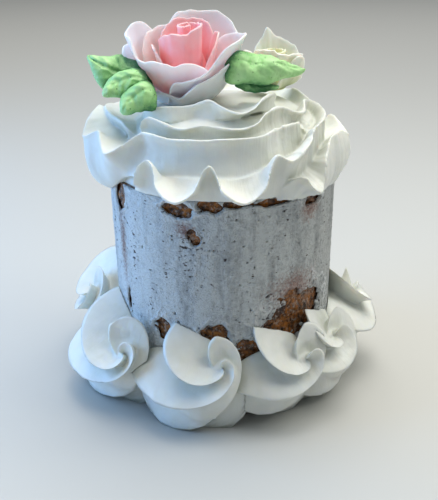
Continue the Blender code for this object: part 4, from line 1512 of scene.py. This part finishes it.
PINK_ROSE = Rose(
    name="pink_sugar_rose",
    node="rose_pink",
    base=(-14.5, 4.0, 136.0),
    lean=18.0,
    core=(
        (0.0, 0.0), (9.0, 0.4), (11.5, 3.0), (10.5, 9.0), (8.5, 14.0), (6.0, 22.0), (3.0, 29.0),
        (0.0, 30.0),
    ),
    pocket=(
        (0.0, -0.4), (9.8, 0.0), (14.6, 2.4), (19.5, 5.0), (22.8, 9.0), (24.5, 15.0), (27.0, 36.0),
        (0.0, 36.0),
    ),
    petals=(
        # white petals round the outside: front, left, back
        Petal(
            rim=(
                (-66, 17, 4), (-56, 20, 9.5), (-41, 21, 12), (-26, 21.5, 13.6), (-10, 22, 12.5),
                (1, 22.5, 15.6), (12, 23, 19.6), (24, 23.3, 21.3), (38, 23.6, 24), (55, 23.5, 25.5),
                (75, 22, 25), (95, 20.5, 22), (110, 19, 15), (118, 18, 6),
            ),
            foot_radius=9.0, foot=1.0, tint_foot=0.9, tint_rim=1.0, spread=0.7,
        ),
        Petal(
            rim=(
                (205, 17, 7), (214, 21, 15), (235, 25.5, 21), (262, 27.5, 22.8), (280, 26, 20.5),
                (294, 23, 14), (302, 20, 6),
            ),
            foot_radius=9.0, foot=1.0, tint_foot=0.85, tint_rim=1.0,
        ),
        Petal(
            rim=(
                (112, 18, 7), (122, 21, 15), (145, 23, 20), (175, 23.5, 21.5), (200, 22.5, 18),
                (212, 21, 12), (220, 18, 6),
            ),
            foot_radius=9.0, foot=1.0, tint_foot=0.85, tint_rim=1.0,
        ),
        # pale petals with a pink heart: front left, right, back, left back
        Petal(
            rim=(
                (-146, 16, 14), (-134, 20, 24.5), (-117, 24, 30.9), (-109, 25.2, 30.4), (-97, 26, 29),
                (-84, 23.6, 30), (-76, 23.2, 27), (-66, 22, 23.7), (-56, 21, 23.8), (-40, 20, 25.9),
                (-25, 19.6, 26.1), (-14.5, 19.5, 25.4), (-1, 19.6, 27), (9, 19.4, 26.6), (21, 18.8, 24.2),
                (34, 18, 19), (42, 17, 11),
            ),
            foot_radius=9.5, foot=4.0, tint_foot=0.25, tint_rim=0.92, spread=0.72,
        ),
        Petal(
            rim=(
                (-24, 19.8, 9), (-18.5, 20.2, 16), (-12, 20.5, 19.4), (-1.6, 21, 20.3), (9.4, 21.6, 22),
                (20, 22, 23.9), (32, 22.3, 28.8), (41, 22.6, 32.3), (53, 23.4, 33.6), (66, 24, 33.8),
                (82, 23.8, 32), (98, 22.6, 29), (107, 21, 28), (112, 18.8, 27), (118, 17, 25.8),
                (124, 15, 23.6), (129, 14, 20), (134, 13, 13),
            ),
            foot_radius=9.5, foot=4.0, tint_foot=0.3, tint_rim=1.0, spread=0.72, curl=1.6,
        ),
        Petal(
            rim=(
                (97, 15, 12), (106, 19, 22), (122, 24, 25.5), (132, 24.5, 27.7), (143, 24.5, 29.8),
                (150, 24, 30.8), (157, 23, 30.9), (168, 22, 30.2), (180, 21, 31.3), (192, 19, 31),
                (209, 16.5, 28.4), (226, 14.5, 22), (236, 13, 13),
            ),
            foot_radius=9.0, foot=6.0, tint_foot=0.3, tint_rim=0.95, spread=0.65, curl=1.2,
        ),
        Petal(
            rim=(
                (192, 14, 13), (200, 15.5, 24), (208, 16.5, 28), (226, 17.3, 27.6), (245, 18.5, 27.2),
                (262, 19, 23), (274, 18, 13),
            ),
            foot_radius=9.0, foot=7.0, tint_foot=0.35, tint_rim=0.8, spread=0.65,
        ),
        # coral petals round the bud: back, right, left
        Petal(
            rim=(
                (114, 11.5, 12), (122, 13, 21), (132.7, 13.6, 27.2), (145, 14, 30), (163, 14, 30.6),
                (179, 13.6, 30.6), (197, 13.4, 31.4), (215, 13, 30.2), (235, 12.5, 27.5), (256, 12, 22),
                (268, 11, 13),
            ),
            foot_radius=8.0, foot=8.0, tint_foot=0.02, tint_rim=0.3, spread=0.7,
        ),
        Petal(
            rim=(
                (30, 11, 14), (42, 12.2, 22), (60, 12.6, 27), (85, 12.4, 30), (110, 12.4, 29),
                (126, 12, 23), (134, 11, 14),
            ),
            foot_radius=8.0, foot=8.0, tint_foot=0.02, tint_rim=0.34, spread=0.7,
        ),
        Petal(
            rim=(
                (-106, 12, 14), (-92, 14.2, 25), (-76, 14.5, 27), (-60, 13.6, 24.5), (-46, 12.6, 19),
                (-38, 12, 12),
            ),
            foot_radius=8.0, foot=8.0, tint_foot=0.25, tint_rim=0.6, spread=0.7,
        ),
        # the bud, one sheet rolled into a whorl
        Petal(
            rim=(
                (-124, 8.5, 15), (-108, 10.8, 22.5), (-90, 11.5, 27), (-76, 11.0, 29.6), (-52, 9.9, 32.6),
                (-26, 9.4, 34.2), (-5, 9.0, 33.8), (12, 8.8, 35.2), (33, 8.6, 36.4), (58, 7.0, 36.0),
                (85, 5.8, 34.8), (120, 5.2, 33.4), (165, 4.6, 32.8), (210, 4.0, 32.8), (260, 3.3, 33.4),
                (310, 2.8, 34.2), (360, 2.4, 34.8), (400, 2.0, 35.0),
            ),
            foot_radius=8.0, foot=9.0, tint_foot=0.02, tint_rim=0.24, spread=1.0, belly=(0.98, 0.5),
            curl=0.5, thickness=0.8, upright=True, step=4.0,
        ),
    ),
)
CREAM_ROSE = Rose(
    name="ivory_sugar_rose",
    node="rose_cream",
    base=(23.5, 12.0, 137.5),
    lean=4.0,
    core=((0.0, 0.0), (6.0, 0.4), (8.0, 3.0), (6.5, 8.0), (3.5, 13.0), (0.0, 14.0)),
    pocket=((0.0, -0.4), (6.6, 0.0), (10.0, 2.4), (14.0, 8.0), (15.5, 30.0), (0.0, 30.0)),
    core_tint=0.1,
    petals=(
        Petal(
            rim=(
                (98, 10, 6), (106, 12.3, 13), (117, 12.5, 15.8), (130, 12, 18), (144, 11.3, 19.6),
                (165, 11, 21.1), (180, 10.3, 23.1), (192, 10, 25.6), (200, 10, 23.4), (208, 10, 20.8),
                (224, 10, 17.4), (238, 9.5, 12), (246, 9, 6),
            ),
            foot_radius=6.0, foot=1.5, tint_foot=0.35, tint_rim=1.0,
        ),
        Petal(
            rim=(
                (-132, 10, 5), (-120, 12.3, 11), (-102, 13.3, 15.8), (-85, 12.3, 17.5), (-66, 11.3, 18.4),
                (-50, 10.8, 17), (-40, 10.5, 11), (-34, 10, 5),
            ),
            foot_radius=6.0, foot=1.5, tint_foot=0.1, tint_rim=0.8,
        ),
        Petal(
            rim=(
                (-84, 8.5, 6), (-72, 9, 14), (-58, 9.2, 18.6), (-40, 9.4, 19.6), (-27, 9.5, 19.9),
                (-5, 10, 20), (8, 10.5, 18.4), (24, 11, 18), (52, 12, 17.7), (76, 12.4, 16.6),
                (92, 12, 13), (104, 11, 6),
            ),
            foot_radius=6.0, foot=1.5, tint_foot=0.15, tint_rim=0.9,
        ),
        Petal(
            rim=(
                (4, 11, 4), (16, 12, 9.5), (29, 12.2, 13.1), (38, 12.6, 15.8), (50, 13.1, 16.9),
                (64, 13.6, 15.5), (80, 13.4, 11.5), (90, 12.4, 5),
            ),
            foot_radius=6.0, foot=1.5, tint_foot=0.2, tint_rim=0.9,
        ),
        Petal(
            rim=(
                (-110, 4.6, 10), (-80, 5.6, 15.5), (-20, 5.6, 17), (60, 5.2, 17.5), (150, 4.2, 17.2),
                (240, 3.2, 17.4), (330, 2.2, 17.8),
            ),
            foot_radius=5.0, foot=3.0, tint_foot=0.05, tint_rim=0.5, spread=1.0, belly=(0.98, 0.5),
            curl=0.4, thickness=0.7, upright=True, step=6.0,
        ),
    ),
)


# The piped leaves


@dataclass
class Leaf:
    """A piped leaf, puffed up about a bent midrib. Sizes in millimetres.

    facing is roughly the way that its upper side looks, pleats how many folds cross it, blunt how round its
    end is, crease how deep its midrib, vein how deep its side veins and sag how far its edges hang. upper
    and lower are the shares of the thickness above and below the midrib, which thin out towards the tip by
    thins. puff is how round its section is, and border the thickness that its edge keeps.
    """

    node: str
    root: Spot
    middle: Spot
    tip: Spot
    half_width: float
    thickness: float
    facing: Spot
    pleats: float
    blunt: float = 0.0
    crease: float = 0.55
    crease_width: float = 0.11
    vein: float = 0.16
    veins: float = 34.0
    vein_slant: float = 9.0
    sag: float = 0.22
    border: float = 0.12
    upper: float = 0.6
    lower: float = 0.38
    thins: Pair = (0.55, 0.6)
    fold: float = 0.2
    fold_slant: float = 1.3
    puff: Pair = (2.2, 0.6)
    look_ahead: float = 0.05
    columns: int = 48
    rows: int = 90
    voxel: float = 0.36
    waves: Profile = ((0.9, 7.0), (0.3, 2.8), (0.14, 1.2))

    def outline(self, part: float) -> float:
        """The half width along the leaf.

        Args:
            part: The share of the way from root to tip.

        Returns:
            The half width there.
        """
        swell = math.sin(math.pi * min(1.0, 0.2 + 0.8 * part) ** 0.85)
        width = self.half_width * (0.06 + 0.94 * swell ** (0.8 - 0.4 * self.blunt))
        width *= 1 - (0.4 - 0.4 * self.blunt) * part**3
        return width * (1 + 0.07 * math.sin(2 * math.pi * self.pleats * part + 1.0)) + 0.25

    def row(self, part: float) -> tuple[list[Spot], list[Spot]]:
        """Finds one row of points across the leaf.

        Args:
            part: The share of the way from root to tip.

        Returns:
            The upper points and the lower ones.
        """
        root, middle, tip = (np.array(spot, float) for spot in (self.root, self.middle, self.tip))
        control = 2 * middle - (root + tip) / 2
        spot = Vector(bezier(root, control, tip, part))
        onward = bezier(root, control, tip, min(part + self.look_ahead, 1.0))
        ahead = Vector(onward - bezier(root, control, tip, max(part - self.look_ahead, 0.0))).normalized()
        side = ahead.cross(Vector(self.facing)).normalized()
        face = side.cross(ahead).normalized()
        width = self.outline(part)
        upper: list[Spot] = []
        lower: list[Spot] = []
        for k in range(self.columns + 1):
            across = 2 * k / self.columns - 1
            rounded = (1 - abs(across) ** self.puff[0]) ** self.puff[1]
            fold = self.fold * math.sin(2 * math.pi * self.pleats * part - self.fold_slant * abs(across))
            full = self.thickness * rounded
            depth = full * (self.upper + fold) * (1 - self.thins[0] * part**2) + self.border
            depth -= self.crease * math.exp(-((across / self.crease_width) ** 2)) * rounded
            depth += self.vein * math.sin(self.veins * part - self.vein_slant * abs(across)) * rounded
            under = self.lower * self.thickness * rounded * (1 - self.thins[1] * part) + self.border
            centre = spot + side * across * width - face * (self.sag * across * across * width)
            upper.append(tuple(centre + face * depth))
            lower.append(tuple(centre - face * under))
        return upper, lower

    def build(self, material: bpy.types.Material) -> bpy.types.Object:
        """Makes the leaf: a puffy wavy solid with a creased midrib and side veins.

        Args:
            material: Its finish.

        Returns:
            The dressed leaf.
        """
        sheets = [self.row(row / self.rows) for row in range(self.rows + 1)]
        points = [spot for side in (0, 1) for sheet in sheets for spot in sheet[side]]
        wide = self.columns + 1
        count = len(points) // 2
        faces: Faces = []
        for row in range(self.rows):
            for a in range(row * wide, row * wide + self.columns):
                for first in (a, count + a):
                    faces.append((first, first + 1, first + wide + 1, first + wide))
        border = list(range(wide)) + [row * wide + wide - 1 for row in range(1, self.rows + 1)]
        border += [self.rows * wide + k for k in range(wide - 2, -1, -1)]
        border += [row * wide for row in range(self.rows - 1, 0, -1)]
        faces += [(a, b, b + count, a + count) for a, b in zip(border, border[1:] + border[:1])]
        leaf = mesh_piece(f"piped_{self.node}", points, faces)
        soften(leaf, self.voxel, 2)
        roughen(leaf, self.waves)
        dress(leaf, self.node, material)
        return leaf


LEAVES = (
    Leaf(
        node="leaf_left_tip", root=(-31, -7, 147), middle=(-45.0, -11, 149.8), tip=(-56.8, -6, 155.4),
        half_width=9.6, thickness=4.6, facing=(-0.25, -0.72, 0.65), pleats=1.8, blunt=0.1, crease=0.9,
    ),
    Leaf(
        node="leaf_left_fold", root=(-32, -15, 145.5), middle=(-42.3, -18.5, 146.2),
        tip=(-48, -20.5, 141.4), half_width=6.9, thickness=6.0, facing=(-0.2, -0.75, 0.6), pleats=1.3,
        blunt=0.6, crease=0.4,
    ),
    Leaf(
        node="leaf_left_low", root=(-28.5, -20, 142.5), middle=(-36.0, -24.5, 141.4),
        tip=(-40, -26, 135.8), half_width=6.5, thickness=5.6, facing=(-0.1, -0.8, 0.55), pleats=1.4,
        blunt=0.6, crease=0.45,
    ),
    Leaf(
        node="leaf_right", root=(2.5, -14, 152.6), middle=(17, -15.0, 151.6), tip=(35.3, -8.5, 148.9),
        half_width=7.8, thickness=6.6, facing=(0.05, -0.75, 0.65), pleats=2.0, blunt=0.2, crease=0.3,
    ),
    Leaf(
        node="leaf_right_low", root=(7, -12, 146.5), middle=(15, -15.5, 144.6), tip=(24, -12, 142.8),
        half_width=3.8, thickness=3.4, facing=(0.0, -0.8, 0.5), pleats=1.2,
    ),
)


# Studio


@dataclass
class SoftLight:
    """One square soft light. Its places and its side are in metres, its power in watts."""

    name: str
    spot: Spot
    aim: Spot
    side: float
    power: float
    colour: str

    def build(self) -> None:
        """Hangs the light."""
        lamp = bpy.data.lights.new(self.name, "AREA")
        lamp.size = self.side
        lamp.energy = self.power
        lamp.color = srgb(self.colour)[:3]
        made = link(self.name, lamp)
        made.location = self.spot
        made.rotation_euler = (Vector(self.aim) - Vector(self.spot)).to_track_quat("-Z", "Y").to_euler()


@dataclass
class Studio:
    """A pale floor and surround, a large cool light from the left and soft neutral ones from above."""

    half_floor: float = 4.0
    floor_colour: str = "#c6c6c3"
    sky_colour: str = "#dde7f1"
    sky_strength: float = 0.2
    lights: tuple[SoftLight, ...] = (
        SoftLight("overhead", (0.15, 0.5, 2.2), aim=(0, 0, 0), side=2.4, power=46.0, colour="#fffdf6"),
        SoftLight("near_ceiling", (0.05, 0.06, 0.6), aim=(0, 0, 0.13), side=0.3, power=0.78, colour="#fffaf0"),
        SoftLight("cool_window", (-0.6, 0.0, 0.24), aim=(0, 0, 0.1), side=0.5, power=4.0, colour="#8cc1fb"),
        SoftLight("warm_side", (0.45, -0.05, 0.55), aim=(0, 0, 0.13), side=0.35, power=1.5, colour="#fbfbf0"),
    )

    def build(self) -> None:
        """Makes the floor, the lights and the surround, seen as a plain camera picture."""
        half = self.half_floor
        mesh = bpy.data.meshes.new("floor")
        corners = [(-half, -half, 0), (half, -half, 0), (half, half, 0), (-half, half, 0)]
        mesh.from_pydata(corners, [], [(0, 1, 2, 3)])
        material = bpy.data.materials.new("matt white card")
        material.use_nodes = True
        shader = material.node_tree.nodes["Principled BSDF"]
        shader.inputs["Base Color"].default_value = srgb(self.floor_colour)
        shader.inputs["Roughness"].default_value = 0.9
        mesh.materials.append(material)
        floor = link("floor", mesh)
        world = bpy.data.worlds.new("pale surround")
        world.use_nodes = True
        sky = world.node_tree.nodes["Background"]
        sky.inputs["Color"].default_value = srgb(self.sky_colour)
        sky.inputs["Strength"].default_value = self.sky_strength
        bpy.context.scene.world = world
        bpy.context.scene.view_settings.view_transform = "Standard"
        for lamp in self.lights:
            lamp.build()


@dataclass
class PhotoCamera:
    """The camera at the photograph's place, by its focal length and picture height in pixels."""

    focal_px: float = 699.43
    height_px: float = 500.0
    spot: Spot = (-0.00203, -0.3121, 0.20603)
    ahead: Spot = (0.0, 0.90677, -0.42163)
    up: Spot = (0.01273, 0.42159, 0.9067)

    def build(self) -> None:
        """Sets the camera up as the scene's own."""
        ahead = Vector(self.ahead).normalized()
        up = Vector(self.up)
        up = (up - ahead * up.dot(ahead)).normalized()
        right = ahead.cross(up)
        data = bpy.data.cameras.new("photo_camera")
        data.sensor_width = 36.0
        data.lens = self.focal_px / self.height_px * data.sensor_width
        camera = link("photo_camera", data)
        camera.matrix_world = stand(self.spot, (right, up, -ahead))
        bpy.context.scene.camera = camera


@dataclass
class MiniCake:
    """The whole cake, in the order that it is made."""

    cream: WhippedCream = WhippedCream("whipped dairy cream")
    scraped: ScrapedCream = ScrapedCream("scraped whipped cream")
    crumb: SpongeCrumb = SpongeCrumb("baked sponge crumb")
    leaf: LeafCream = LeafCream("leaf green buttercream")
    pink: SugarPaste = SugarPaste(
        "pink sugar paste",
        ((0.05, "#ffacb0"), (0.3, "#ffc7ca"), (0.55, "#ffdedc"), (0.78, "#fbebf0"), (1.0, "#faf6fc")),
    )
    # the greenish yellow at the heart is partly the paste's own tint, partly painted shade with a painted
    # green reflection of the leaves
    ivory: SugarPaste = SugarPaste(
        "ivory sugar paste", ((0.1, "#d8dc98"), (0.5, "#e9ebc6"), (0.9, "#f6f6ea"))
    )

    def build(self) -> None:
        """Makes every piece."""
        Sponge().build(self.crumb.build())
        ScrapedCoat().build(self.scraped.build())
        cream = self.cream.build()
        Ruffle(RIBBONS).build((PINK_ROSE, CREAM_ROSE), cream)
        RosetteRing(ROSETTES).build(cream)
        PINK_ROSE.build(Slot.PINK_PASTE, self.pink.build())
        CREAM_ROSE.build(Slot.IVORY_PASTE, self.ivory.build())
        green = self.leaf.build()
        for leaf in LEAVES:
            leaf.build(green)


def main() -> None:
    """Builds the cake, the studio and the camera."""
    logging.basicConfig(level=logging.INFO, format="%(name)s: %(message)s")
    PhotoCamera().build()
    Studio().build()
    MiniCake().build()


if __name__ == "__main__":
    main()
